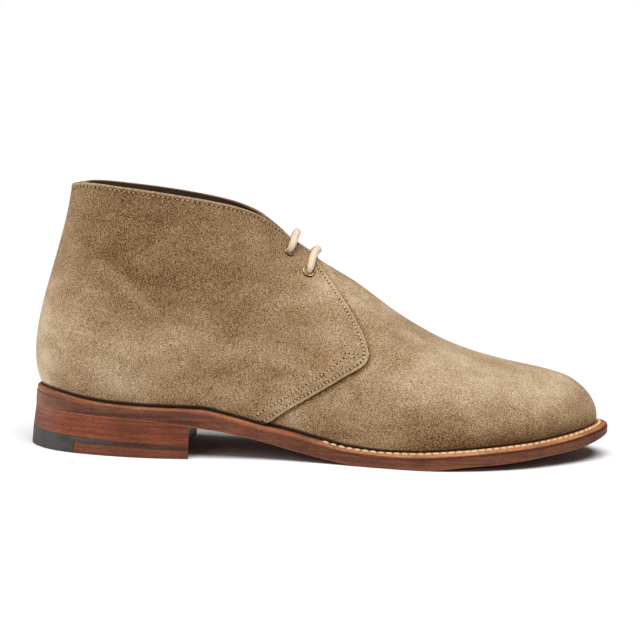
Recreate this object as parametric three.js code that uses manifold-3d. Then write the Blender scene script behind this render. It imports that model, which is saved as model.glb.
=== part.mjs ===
// A right chukka boot: suede upper on a stitched welt, leather sole and stacked leather heel.
// +X points to the toe, -Y to the outer side of the foot, +Z up, in millimetres.
import * as THREE from 'three';
import Module from 'manifold-3d';
import { mergeVertices } from 'three/addons/utils/BufferGeometryUtils.js';

const wasm = await Module();
wasm.setup();

// Driving sizes.
const soleLength = 304;
const ballWidth = 103.8;
const bootHeight = 137.4;
const heelHeight = 25;
const heelLength = 84;

// Thicknesses and clearances.
const wall = 2.2;
const weltThickness = 2.8;
const insoleRise = 2;
const tongueThickness = 2;
const gap = 0.3;
const footGap = 0.4;

// Edges, measured inwards from the sole's outline. A negative one stands out. The heel is drawn
// in further at the back, by an amount for each piece, and runs out to the outline past the breast.
const weltInset = 0.6;
const heelSideInset = 0.35;
const heelFloorInset = -0.6;
const insoleClearance = 1;
const weltJoint = 0.01;
const backInset = { rand: 1.5, soleTop: 1.2, soleBottom: 0.9, heelTop: 0.9 };
const backRows = { from: 0.8, to: 3.4 };
const breastRows = { from: 4.7, to: 5.6 };

// Heel layers: heights above the floor at the breast, and how they rise towards the back. The
// shares say how far up the heel's flare each joint lies.
const topPieceHeight = 3.5;
const thinLiftHeight = 6;
const layerSlope = 0.04;
const topPieceShare = 0.21;
const thinLiftShare = 0.35;
const liftJointShare = 0.67;
const breastBow = 2.5;
const rubberLength = 25;
const rubberStepLength = 46.3;
const cutterDepth = 5;
const cutterHeight = 35;

// Tongue: the rows it runs between, its lower edge in rises of the upper, and its clearance.
const tongueRows = { from: 6 + 1 / 3, to: 8 + 2 / 3 };
const tongueLowRise = 10;
const tongueColumns = 4;
const tongueClearance = 1.05;

// Lace and eyelets. The arch lists how high the lace stands over the upper on its way across.
const laceRadius = 1.75;
const laceSides = 8;
const laceClimb = { share: 0.1, above: 1.6 };
const laceArch = [{ share: 0.4, above: 1 }, { share: 0.7, above: 0.5 }, { share: 1, above: 0.3 }];
const eyeletHoleRadius = 2.3;
const eyeletBarrelRadius = 2.75;
const eyeletFlangeRadius = 3.6;
const eyeletFlangeThickness = 0.6;
const eyeletBevel = 0.3;
const eyeletSeat = 0.7;
const eyeletInnerReach = 2.6;
const eyeletCutRadius = 3.1;
const roundSides = 16;

// Samples: steps between two sections, rows up the upper, columns across a flat piece.
const stepsPerSection = 3;
const risesOfUpper = 14;
const columnsAcross = 4;
const lacePathSteps = 26;

// Sole outline. x is a fraction of the length, and the half-widths are fractions of half the
// ball width; margin is the step in from the outline to the upper's foot, in millimetres.
const plan = [
  { place: 'back', x: 0, lateral: 0, medial: 0, margin: 4.2 },
  { place: 'back corner', x: 0.021, lateral: 0.308, medial: 0.318, margin: 4 },
  { place: 'heel curve', x: 0.066, lateral: 0.526, medial: 0.52, margin: 3.6 },
  { place: 'heel', x: 0.138, lateral: 0.67, medial: 0.636, margin: 3.4 },
  { place: 'seat', x: 0.224, lateral: 0.736, medial: 0.624, margin: 4.1 },
  { place: 'breast', x: 0.316, lateral: 0.705, medial: 0.54, margin: 3.7 },
  { place: 'waist', x: 0.414, lateral: 0.694, medial: 0.489, margin: 3.3 },
  { place: 'arch', x: 0.513, lateral: 0.79, medial: 0.578, margin: 3.6 },
  { place: 'joint', x: 0.605, lateral: 0.933, medial: 0.775, margin: 4.6 },
  { place: 'ball', x: 0.694, lateral: 1.004, medial: 0.94, margin: 5.4 },
  { place: 'tread', x: 0.783, lateral: 0.917, medial: 0.994, margin: 5.6 },
  { place: 'vamp', x: 0.862, lateral: 0.72, medial: 0.925, margin: 5.8 },
  { place: 'toe', x: 0.934, lateral: 0.428, medial: 0.732, margin: 5.9 },
  { place: 'toe corner', x: 0.982, lateral: 0.145, medial: 0.463, margin: 6 },
  { place: 'tip', x: 1, lateral: -0.162, medial: 0.162, margin: 6.2 },
];

// The upper's ribs, one for each row of the plan. top is where the rib ends on the top line, a
// fraction of the length; gape is half the opening there, and ridge its shift to the inner side.
// The lower guide point stands out and rises from the foot; the upper one spreads sideways,
// leans forward and drops from the top. All of these are in millimetres.
const ribs = [
  { top: 0.061, gape: 0, ridge: 0, outLateral: 12, outMedial: 12, rise: 25, spread: 0, drop: 36, lean: -3.3 },
  { top: 0.071, gape: 9.5, ridge: 0, outLateral: 11, outMedial: 11, rise: 25, spread: 1.2, drop: 36, lean: -3 },
  { top: 0.102, gape: 18.5, ridge: 0, outLateral: 9, outMedial: 9.5, rise: 26, spread: 1.5, drop: 36, lean: -2 },
  { top: 0.161, gape: 25.3, ridge: 0, outLateral: 7, outMedial: 8.5, rise: 28, spread: 1.5, drop: 37, lean: -1 },
  { top: 0.23, gape: 27.5, ridge: 0, outLateral: 6, outMedial: 9, rise: 30, spread: 1.5, drop: 38, lean: 0 },
  { top: 0.303, gape: 24.8, ridge: 0, outLateral: 6, outMedial: 10.5, rise: 31, spread: 3, drop: 36, lean: 1 },
  { top: 0.375, gape: 15.5, ridge: 0, outLateral: 5.5, outMedial: 12, rise: 33, spread: 8, drop: 28, lean: 3 },
  { top: 0.441, gape: 2.2, ridge: 0.5, outLateral: 4, outMedial: 10, rise: 36, spread: 17, drop: 12, lean: 4 },
  { top: 0.517, gape: 0, ridge: 1, outLateral: 6, outMedial: 9, rise: 34, spread: 21, drop: 0, lean: 4 },
  { top: 0.605, gape: 0, ridge: 3, outLateral: 8, outMedial: 8.5, rise: 28, spread: 26, drop: 0, lean: 4 },
  { top: 0.691, gape: 0, ridge: 5, outLateral: 7.5, outMedial: 8, rise: 22, spread: 29, drop: 0, lean: 4 },
  { top: 0.77, gape: 0, ridge: 6.5, outLateral: 6.5, outMedial: 7, rise: 17, spread: 28, drop: 0, lean: 4 },
  { top: 0.839, gape: 0, ridge: 7.5, outLateral: 5, outMedial: 5.5, rise: 14, spread: 22, drop: 0, lean: 5 },
  { top: 0.888, gape: 0, ridge: 8, outLateral: 3, outMedial: 3, rise: 12, spread: 12, drop: 0, lean: 9 },
  { top: 0.908, gape: 0, ridge: 8.2, outLateral: 1.5, outMedial: 1.5, rise: 11, spread: 0, drop: 0, lean: 12 },
];
const throatRow = 8;
const collarFrontRow = 6;
const uprightFrom = 0.75;
const levelBelow = 0.2;

// Heights along the boot. x is a fraction of the length. The seat line, where the upper meets the
// sole, and the sole's underside are fractions of the heel height; the top line, which is the
// collar, the throat and the vamp's ridge, is a fraction of the boot's height.
const seatLine = [
  { x: 0, z: 1.25 }, { x: 0.05, z: 1.19 }, { x: 0.1, z: 1.092 }, { x: 0.15, z: 1.036 },
  { x: 0.21, z: 1.008 }, { x: 0.29, z: 0.988 }, { x: 0.345, z: 0.864 }, { x: 0.395, z: 0.716 },
  { x: 0.445, z: 0.596 }, { x: 0.495, z: 0.452 }, { x: 0.545, z: 0.336 }, { x: 0.6, z: 0.3 },
  { x: 0.65, z: 0.316 }, { x: 0.72, z: 0.376 }, { x: 0.8, z: 0.448 }, { x: 0.87, z: 0.512 },
  { x: 0.93, z: 0.6 }, { x: 1, z: 0.76 },
];
const undersideLine = [
  { x: 0, z: 0.784 }, { x: 0.066, z: 0.78 }, { x: 0.14, z: 0.756 }, { x: 0.207, z: 0.728 },
  { x: 0.276, z: 0.636 }, { x: 0.33, z: 0.548 }, { x: 0.395, z: 0.38 }, { x: 0.46, z: 0.188 },
  { x: 0.526, z: 0.036 }, { x: 0.56, z: 0 }, { x: 0.67, z: 0 }, { x: 0.74, z: 0.08 },
  { x: 0.806, z: 0.132 }, { x: 0.872, z: 0.216 }, { x: 0.9375, z: 0.304 }, { x: 1, z: 0.5 },
];
const topLine = [
  { x: 0.061, z: 0.991 }, { x: 0.092, z: 1 }, { x: 0.158, z: 0.989 }, { x: 0.243, z: 0.968 },
  { x: 0.329, z: 0.9375 }, { x: 0.372, z: 0.909 }, { x: 0.411, z: 0.857 }, { x: 0.441, z: 0.798 },
  { x: 0.488, z: 0.726 }, { x: 0.517, z: 0.689 }, { x: 0.549, z: 0.648 }, { x: 0.629, z: 0.524 },
  { x: 0.682, z: 0.457 }, { x: 0.73, z: 0.409 }, { x: 0.802, z: 0.3625 }, { x: 0.908, z: 0.315 },
  { x: 0.94, z: 0.29 },
];

// Eyelets: the section they stand at and how far up its rib, the same on both quarters, and the
// section at which the lace bar between them crosses the throat.
const eyelets = [
  { name: 'lower', section: 7.19, height: 0.785, crossing: 7.55 },
  { name: 'upper', section: 6.81, height: 0.865, crossing: 7.06 },
];

const colours = {
  suede: 0x8d6e4e,
  tongueSuede: 0x7a5c3f,
  weltLeather: 0xb07a4c,
  soleLeather: 0x72473a,
  heelLeather: 0x7c4531,
  darkLeather: 0x4a3226,
  rubber: 0x48413f,
  insoleLeather: 0xc49a6c,
  brass: 0x9a7b4a,
  lace: 0xf0dcbc,
};

const rowCount = 2 * (plan.length - 1);
const toeRow = plan.length - 1;
const mod = (value, size) => ((value % size) + size) % size;
const smoothStep = (from, to, value) => THREE.MathUtils.smoothstep(value, from, to);

// A smooth curve through a table's points that doesn't overshoot between them (monotone cubic).
function monotone(xs, ys) {
  const slopes = xs.slice(1).map((x, i) => (ys[i + 1] - ys[i]) / (x - xs[i]));
  const tangents = ys.map((_, i) => {
    if (i === 0) return slopes[0];
    if (i === ys.length - 1) return slopes[i - 1];
    const before = slopes[i - 1];
    const after = slopes[i];
    return before * after <= 0 ? 0 : (2 * before * after) / (before + after);
  });
  return (x) => {
    let i = 0;
    while (i < xs.length - 2 && x > xs[i + 1]) i++;
    const width = xs[i + 1] - xs[i];
    const s = THREE.MathUtils.clamp((x - xs[i]) / width, 0, 1);
    const start = (1 + 2 * s) * (1 - s) ** 2 * ys[i] + s * (1 - s) ** 2 * width * tangents[i];
    const end = s * s * (3 - 2 * s) * ys[i + 1] - s * s * (1 - s) * width * tangents[i + 1];
    return start + end;
  };
}

// The closed cubic spline that passes through one value for each row, with t counted in rows.
function closedSpline(values) {
  const count = values.length;
  let control = values.slice();
  for (let pass = 0; pass < 60; pass++) {
    const last = control;
    control = values.map((v, i) => (6 * v - last[mod(i - 1, count)] - last[mod(i + 1, count)]) / 4);
  }
  return (t) => {
    const i = Math.floor(t);
    const f = t - i;
    const weights = [(1 - f) ** 3, 3 * f ** 3 - 6 * f * f + 4, -3 * f ** 3 + 3 * f * f + 3 * f + 1, f ** 3];
    return weights.reduce((sum, w, j) => sum + (w * control[mod(i - 1 + j, count)]) / 6, 0);
  };
}

// Goes round the boot: out along the lateral side to the toe, and back along the medial side.
function around(lateral, medial) {
  const back = medial.slice(1, -1).reverse();
  return closedSpline([...lateral, ...back]);
}

const column = (table, name, scale = 1) => table.map((row) => row[name] * scale);
const even = (table, name, scale) => around(column(table, name, scale), column(table, name, scale));
const heights = (table, scale) => monotone(column(table, 'x', soleLength), column(table, 'z', scale));
const byRow = (table, name) => {
  const curve = monotone(table.map((_, i) => i), column(table, name));
  return (t) => curve(Math.min(t, rowCount - t));
};

const outlineX = even(plan, 'x', soleLength);
const outlineY = around(column(plan, 'lateral', -ballWidth / 2), column(plan, 'medial', ballWidth / 2));
const footMargin = even(plan, 'margin');
const seatZ = heights(seatLine, heelHeight);
const undersideZ = heights(undersideLine, heelHeight);
const topZ = heights(topLine, bootHeight);
const soleTopZ = (x) => seatZ(x) - weltThickness - gap;

const ribTopX = even(ribs, 'top', soleLength);
const ribRidge = even(ribs, 'ridge');
const ribOut = around(column(ribs, 'outLateral'), column(ribs, 'outMedial'));
const ribRise = even(ribs, 'rise');
const ribLean = even(ribs, 'lean');
const ribSpread = around(column(ribs, 'spread', -1), column(ribs, 'spread', 1));
const ribGape = byRow(ribs, 'gape');
const ribDrop = byRow(ribs, 'drop');

// The sole outline's point and outward direction at t.
function outline(t, inset = 0) {
  const step = 0.01;
  const dx = outlineX(t + step) - outlineX(t - step);
  const dy = outlineY(t + step) - outlineY(t - step);
  const length = Math.hypot(dx, dy);
  const normal = new THREE.Vector2(dy / length, -dx / length);
  return {
    x: outlineX(t) - normal.x * inset,
    y: outlineY(t) - normal.y * inset,
    normal,
  };
}

// A point of the upper's outer face: a cubic curve from the foot to the top line at each t.
function upperPoint(t, v) {
  const foot = outline(t, footMargin(t));
  const side = t <= toeRow ? -1 : 1;
  const x = ribTopX(t);
  const slope = (topZ(x + 1) - topZ(x - 1)) / 2;
  const lean = ribLean(t);
  const out = ribOut(t);
  const footZ = seatZ(foot.x) + footGap;
  const top = new THREE.Vector3(x, ribRidge(t) + side * ribGape(t), topZ(x));
  const points = [
    new THREE.Vector3(foot.x, foot.y, footZ),
    new THREE.Vector3(foot.x + foot.normal.x * out, foot.y + foot.normal.y * out, footZ + ribRise(t)),
    new THREE.Vector3(x + lean, top.y + ribSpread(t), top.z + slope * lean - ribDrop(t)),
    top,
  ];
  const weights = [(1 - v) ** 3, 3 * v * (1 - v) ** 2, 3 * v * v * (1 - v), v ** 3];
  return points.reduce((sum, p, i) => sum.addScaledVector(p, weights[i]), new THREE.Vector3());
}

// The upper's outward direction at a point.
function upperNormal(t, v) {
  const step = 0.01;
  const low = Math.min(Math.max(v - step, 0), 1 - 2 * step);
  const along = upperPoint(t + step, low).sub(upperPoint(t - step, low));
  const up = upperPoint(t, low + 2 * step).sub(upperPoint(t, low));
  return along.cross(up).normalize();
}

// The direction in which the wall has its thickness: level at the foot, so that the rim lies flat
// on the sole, and upright at the throat, so that the two facings stay apart.
function wallDirection(t, v) {
  const normal = upperNormal(t, v);
  const row = Math.min(t, rowCount - t);
  const x = ribTopX(t);
  const crest = new THREE.Vector3(-(topZ(x + 1) - topZ(x - 1)) / 2, 0, 1).normalize();
  const upright = smoothStep(collarFrontRow, collarFrontRow + 1, row) * smoothStep(uprightFrom, 1, v);
  normal.z *= smoothStep(0, levelBelow, v);
  return normal.normalize().lerp(crest, upright).normalize();
}

const upperInside = (t, v, depth) => upperPoint(t, v).addScaledVector(wallDirection(t, v), -depth);

// A mesh from a list of triangles given as points, its shared corners merged.
function geometryOf(triangles) {
  const positions = new Float32Array(triangles.flat().flatMap((p) => [p.x, p.y, p.z]));
  const geometry = new THREE.BufferGeometry();
  geometry.setAttribute('position', new THREE.BufferAttribute(positions, 3));
  const merged = mergeVertices(geometry, 1e-4);
  const kept = [];
  for (let i = 0; i < merged.index.count; i += 3) {
    const [a, b, c] = [0, 1, 2].map((j) => merged.index.getX(i + j));
    if (a !== b && b !== c && c !== a) kept.push(a, b, c);
  }
  merged.setIndex(kept);
  return merged;
}

function quad(a, b, c, d) {
  return [[a, b, c], [a, c, d]];
}

// Joins two grids of points, one face each, into a solid. Both grids have the same rows and
// columns, and the front one is seen with its rows rising and its columns running to the right.
function solidBetween(front, back, rowsClose = false) {
  const triangles = [];
  const rows = front.length;
  const columns = front[0].length;
  const lastRow = rowsClose ? rows : rows - 1;
  for (let r = 0; r < lastRow; r++) {
    const s = (r + 1) % rows;
    for (let c = 0; c + 1 < columns; c++) {
      triangles.push(...quad(front[r][c], front[s][c], front[s][c + 1], front[r][c + 1]));
      triangles.push(...quad(back[r][c], back[r][c + 1], back[s][c + 1], back[s][c]));
    }
    const end = columns - 1;
    triangles.push(...quad(front[r][0], back[r][0], back[s][0], front[s][0]));
    triangles.push(...quad(front[r][end], front[s][end], back[s][end], back[r][end]));
  }
  if (!rowsClose) {
    for (let c = 0; c + 1 < columns; c++) {
      triangles.push(...quad(front[0][c], front[0][c + 1], back[0][c + 1], back[0][c]));
      const end = rows - 1;
      triangles.push(...quad(front[end][c], back[end][c], back[end][c + 1], front[end][c + 1]));
    }
  }
  return triangles;
}

function steps(from, to, count) {
  return Array.from({ length: count + 1 }, (_, i) => from + ((to - from) * i) / count);
}

// The row at which the outline reaches x, on the way out to the toe.
function rowAt(x) {
  let low = 0;
  let high = toeRow;
  for (let pass = 0; pass < 40; pass++) {
    const middle = (low + high) / 2;
    if (outlineX(middle) < x) low = middle;
    else high = middle;
  }
  return low;
}

// A flat-lying piece from side to side of the boot, between two rows of the plan. Its edge is
// inset at the top and at the bottom by a distance that may change with t; bow hollows its
// front edge.
function slab({ from, to, insetTop, insetBottom = insetTop, top, bottom, bow = 0 }) {
  const count = Math.max(4, Math.round((to - from) * stepsPerSection));
  const face = (inset, height) => steps(from, to, count).map((t) => {
    const lateral = outline(t, inset(t));
    const medial = outline(rowCount - t, inset(t));
    return steps(-1, 1, columnsAcross).map((s) => {
      const hollow = bow * (1 - s * s) * smoothStep(to - 2, to, t);
      const x = THREE.MathUtils.lerp(lateral.x, medial.x, (s + 1) / 2) - hollow;
      const y = THREE.MathUtils.lerp(lateral.y, medial.y, (s + 1) / 2);
      return new THREE.Vector3(x, y, height(x));
    });
  });
  return geometryOf(solidBetween(face(insetTop, top), face(insetBottom, bottom)));
}

// A flat band that follows the outline from one t to another.
function band({ from, to, outer, inner, top, bottom }) {
  const count = Math.round((to - from) * stepsPerSection);
  const face = (height) => steps(from, to, count).map((t) => {
    const at = mod(t, rowCount);
    return [outer, inner].map((inset) => {
      const p = outline(at, inset(at));
      return new THREE.Vector3(p.x, p.y, height(p.x));
    });
  });
  return geometryOf(solidBetween(face(top), face(bottom)));
}

function manifoldOf(geometry) {
  const bare = new THREE.BufferGeometry();
  bare.setAttribute('position', geometry.getAttribute('position'));
  bare.setIndex(geometry.index);
  const merged = mergeVertices(bare, 1e-4);
  return new wasm.Manifold(new wasm.Mesh({
    numProp: 3,
    vertProperties: new Float32Array(merged.attributes.position.array),
    triVerts: new Uint32Array(merged.index.array),
  }));
}

function geometryFrom(manifold) {
  const mesh = manifold.getMesh();
  const geometry = new THREE.BufferGeometry();
  geometry.setAttribute('position', new THREE.BufferAttribute(new Float32Array(mesh.vertProperties), 3));
  geometry.setIndex(Array.from(mesh.triVerts));
  return geometry;
}

function cut(geometry, cutters) {
  return geometryFrom(cutters.reduce((solid, cutter) => solid.subtract(manifoldOf(cutter)), manifoldOf(geometry)));
}

const boot = new THREE.Group();

function piece(name, geometry, color, roughness = 0.8, metalness = 0) {
  geometry.computeVertexNormals();
  const material = new THREE.MeshStandardMaterial({ color, roughness, metalness });
  const mesh = new THREE.Mesh(geometry, material);
  mesh.name = name;
  boot.add(mesh);
  return mesh;
}

// Turns an object made along +Z so that it stands on the upper at an eyelet.
function eyeletFrame(eyelet, side) {
  const t = side < 0 ? eyelet.section : rowCount - eyelet.section;
  const point = upperPoint(t, eyelet.height);
  const normal = upperNormal(t, eyelet.height);
  const turn = new THREE.Quaternion().setFromUnitVectors(new THREE.Vector3(0, 0, 1), normal);
  return { t, point, normal, matrix: new THREE.Matrix4().compose(point, turn, new THREE.Vector3(1, 1, 1)) };
}

const bothSides = [{ side: -1, name: 'lateral' }, { side: 1, name: 'medial' }];

function upper() {
  const samples = rowCount * stepsPerSection;
  const throat = throatRow * stepsPerSection;
  const rises = steps(0, 1, risesOfUpper);
  const ts = Array.from({ length: samples }, (_, i) => i / stepsPerSection);
  const outer = ts.map((t) => rises.map((v) => upperPoint(t, v)));
  const inner = ts.map((t) => rises.map((v) => upperInside(t, v, wall)));
  const triangles = [];
  for (let i = 0; i < samples; i++) {
    const n = (i + 1) % samples;
    for (let j = 0; j < risesOfUpper; j++) {
      triangles.push(...quad(outer[i][j], outer[n][j], outer[n][j + 1], outer[i][j + 1]));
      triangles.push(...quad(inner[i][j], inner[i][j + 1], inner[n][j + 1], inner[n][j]));
    }
    triangles.push(...quad(outer[i][0], inner[i][0], inner[n][0], outer[n][0]));
    const open = i < throat || i >= samples - throat;
    const top = risesOfUpper;
    if (open) triangles.push(...quad(outer[i][top], outer[n][top], inner[n][top], inner[i][top]));
  }
  const holes = eyelets.flatMap((eyelet) => bothSides.map(({ side }) => {
    const hole = new THREE.CylinderGeometry(eyeletCutRadius, eyeletCutRadius, 6 * wall, roundSides);
    return hole.rotateX(Math.PI / 2).applyMatrix4(eyeletFrame(eyelet, side).matrix);
  }));
  piece('upper', cut(geometryOf(triangles), holes), colours.suede, 0.95);
}

function tongue() {
  const { from, to } = tongueRows;
  const heightsUsed = steps(tongueLowRise / risesOfUpper, 1, tongueColumns);
  const count = Math.round((to - from) * stepsPerSection);
  const face = (below) => steps(from, to, count).map((t) => {
    const lateral = heightsUsed.map((v) => upperInside(t, v, below));
    const medial = heightsUsed.map((v) => upperInside(rowCount - t, v, below)).reverse();
    const crown = lateral.at(-1).clone().add(medial[0]).multiplyScalar(0.5);
    return [...lateral.slice(0, -1), crown, ...medial.slice(1)];
  });
  const depth = eyeletInnerReach + tongueClearance;
  const outerFace = face(depth);
  const innerFace = face(depth + tongueThickness);
  piece('tongue', geometryOf(solidBetween(outerFace, innerFace)), colours.tongueSuede, 0.95);
}

// How far the heel's edge is drawn in at t, with the piece's own amount at the very back.
const heelInset = (atBack) => (t) => {
  const row = Math.min(t, rowCount - t);
  const back = 1 - smoothStep(backRows.from, backRows.to, row);
  return (heelSideInset + atBack * back) * (1 - smoothStep(breastRows.from, breastRows.to, row));
};

function soleParts() {
  const breast = rowAt(heelLength);
  const insoleInset = (t) => footMargin(t) + wall + insoleClearance;
  piece('outsole', slab({
    from: 0, to: toeRow, insetTop: heelInset(backInset.soleTop), insetBottom: heelInset(backInset.soleBottom),
    top: soleTopZ, bottom: undersideZ,
  }), colours.soleLeather, 0.5);
  piece('insole', slab({
    from: 0, to: toeRow, insetTop: insoleInset,
    top: (x) => seatZ(x) + insoleRise, bottom: (x) => soleTopZ(x) + gap,
  }), colours.insoleLeather, 0.7);
  const edge = { inner: (t) => insoleInset(t) - gap, top: seatZ, bottom: (x) => seatZ(x) - weltThickness };
  piece('welt', band({
    from: breast + weltJoint, to: rowCount - breast - weltJoint, outer: () => weltInset, ...edge,
  }), colours.weltLeather, 0.5);
  piece('heel_rand', band({
    from: rowCount - breast, to: rowCount + breast, outer: heelInset(backInset.rand), ...edge,
  }), colours.heelLeather, 0.45);
}

function heelParts() {
  const breast = rowAt(heelLength);
  const topPiece = (x) => topPieceHeight + layerSlope * (heelLength - x);
  const thinLift = (x) => thinLiftHeight + layerSlope * (heelLength - x);
  const liftTop = (share) => (x) => THREE.MathUtils.lerp(thinLift(x), undersideZ(x) - gap, share);
  const topInset = heelInset(backInset.heelTop);
  const insetAt = (share) => (t) => THREE.MathUtils.lerp(heelFloorInset, topInset(t), share);
  // A layer between two heights; low and high are its shares of the flare.
  const layer = (bottom, top, low, high) => slab({
    from: 0, to: breast, insetTop: insetAt(high), insetBottom: insetAt(low), top, bottom, bow: breastBow,
  });
  const above = (height) => (x) => height(x) + gap;
  const frontOf = (x) => new THREE.BoxGeometry(2 * heelLength, 2 * ballWidth, cutterHeight)
    .translate(x + heelLength, 0, cutterHeight / 2 - cutterDepth);
  const behind = (x) => frontOf(x).translate(-2 * heelLength, 0, 0);

  const upperLift = layer(above(liftTop(0.5)), liftTop(1), liftJointShare, 1);
  const lowerLift = layer(above(thinLift), liftTop(0.5), thinLiftShare, liftJointShare);
  piece('heel_lift_upper', upperLift, colours.heelLeather, 0.45);
  piece('heel_lift_lower', lowerLift, colours.heelLeather, 0.45);
  const thin = layer(above(topPiece), thinLift, topPieceShare, thinLiftShare);
  const bottomLayer = layer(() => 0, topPiece, 0, topPieceShare);
  piece('heel_thin_lift', cut(thin, [behind(rubberStepLength + gap)]), colours.darkLeather, 0.5);
  piece('heel_top_piece', cut(bottomLayer, [behind(rubberLength + gap)]), colours.heelLeather, 0.5);
  const rubber = layer(() => 0, thinLift, 0, thinLiftShare);
  const step = slabUnder(topPiece, rubberLength);
  piece('rubber_tip', cut(rubber, [step, frontOf(rubberStepLength)]), colours.rubber, 0.8);
}

// A block in front of x that reaches from below the floor to a clearance above the given height.
function slabUnder(height, x) {
  const reach = 2 * heelLength;
  const face = (low) => [x, x + reach].map((at) => [-ballWidth, ballWidth].map((y) => (
    new THREE.Vector3(at, y, low ? -cutterDepth : height(at) + gap)
  )));
  return geometryOf(solidBetween(face(false), face(true)));
}

function prepared(geometry) {
  geometry.deleteAttribute('normal');
  geometry.deleteAttribute('uv');
  return mergeVertices(geometry, 1e-4);
}

function eyeletParts() {
  const low = -eyeletInnerReach;
  const profile = [
    [eyeletHoleRadius, low],
    [eyeletBarrelRadius, low],
    [eyeletBarrelRadius, eyeletSeat],
    [eyeletFlangeRadius, eyeletSeat],
    [eyeletFlangeRadius - eyeletBevel, eyeletSeat + eyeletFlangeThickness],
    [eyeletHoleRadius, eyeletSeat + eyeletFlangeThickness],
    [eyeletHoleRadius, low],
  ].map(([r, z]) => new THREE.Vector2(r, z));
  for (const eyelet of eyelets) {
    for (const { side, name } of bothSides) {
      const ring = new THREE.LatheGeometry(profile, roundSides).rotateX(Math.PI / 2);
      const mesh = piece(`eyelet_${eyelet.name}_${name}`, prepared(ring), colours.brass, 0.35, 0.9);
      mesh.applyMatrix4(eyeletFrame(eyelet, side).matrix);
    }
  }
}

// A lace bar: out of one eyelet, over the throat and down into the eyelet opposite.
function laceParts() {
  const clear = laceRadius + 2 * gap;
  const start = eyeletSeat + eyeletFlangeThickness + 2 * gap;
  const section = new THREE.Shape(Array.from({ length: laceSides }, (_, i) => {
    const angle = (2 * Math.PI * i) / laceSides;
    return new THREE.Vector2(Math.cos(angle) * laceRadius, Math.sin(angle) * laceRadius);
  }));
  for (const eyelet of eyelets) {
    const half = bothSides.map(({ side }) => {
      const { point, normal } = eyeletFrame(eyelet, side);
      const over = (share, lift) => {
        const row = THREE.MathUtils.lerp(eyelet.section, eyelet.crossing, share);
        const t = side < 0 ? row : rowCount - row;
        const v = THREE.MathUtils.lerp(eyelet.height, 1, share);
        return upperPoint(t, v).addScaledVector(upperNormal(t, v), lift);
      };
      return [
        point.clone().addScaledVector(normal, start),
        over(laceClimb.share, start + laceClimb.above),
        ...laceArch.map(({ share, above }) => over(share, clear + above)),
      ];
    });
    const path = new THREE.CatmullRomCurve3([...half[0], ...half[1].reverse()]);
    const bar = new THREE.ExtrudeGeometry(section, {
      steps: lacePathSteps, bevelEnabled: false, extrudePath: path,
    });
    piece(`lace_bar_${eyelet.name}`, prepared(bar), colours.lace, 0.85);
  }
}

upper();
tongue();
soleParts();
heelParts();
eyeletParts();
laceParts();

// The boot's own origin is under the middle of its bounding box, on the floor.
const box = new THREE.Box3().setFromObject(boot);
boot.position.set(-(box.min.x + box.max.x) / 2, -(box.min.y + box.max.y) / 2, -box.min.z);

export default boot;
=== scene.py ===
import math

import bmesh
import bpy
import numpy as np
from mathutils import Matrix, Vector


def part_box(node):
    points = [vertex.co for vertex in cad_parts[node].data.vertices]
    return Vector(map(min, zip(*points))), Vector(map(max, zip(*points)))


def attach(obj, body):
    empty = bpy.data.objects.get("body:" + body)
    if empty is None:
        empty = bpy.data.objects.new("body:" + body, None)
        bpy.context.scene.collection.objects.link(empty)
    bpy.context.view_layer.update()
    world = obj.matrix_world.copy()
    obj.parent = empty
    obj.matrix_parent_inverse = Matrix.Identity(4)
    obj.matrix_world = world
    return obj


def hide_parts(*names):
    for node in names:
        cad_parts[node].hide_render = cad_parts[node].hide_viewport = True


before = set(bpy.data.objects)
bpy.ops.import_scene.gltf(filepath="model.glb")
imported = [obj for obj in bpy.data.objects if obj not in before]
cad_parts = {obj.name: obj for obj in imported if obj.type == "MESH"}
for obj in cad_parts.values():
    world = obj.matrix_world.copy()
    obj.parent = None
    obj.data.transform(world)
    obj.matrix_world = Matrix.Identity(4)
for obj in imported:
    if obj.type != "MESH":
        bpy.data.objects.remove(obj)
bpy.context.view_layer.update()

print("frame loaded:", len(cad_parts), "pieces")

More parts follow.
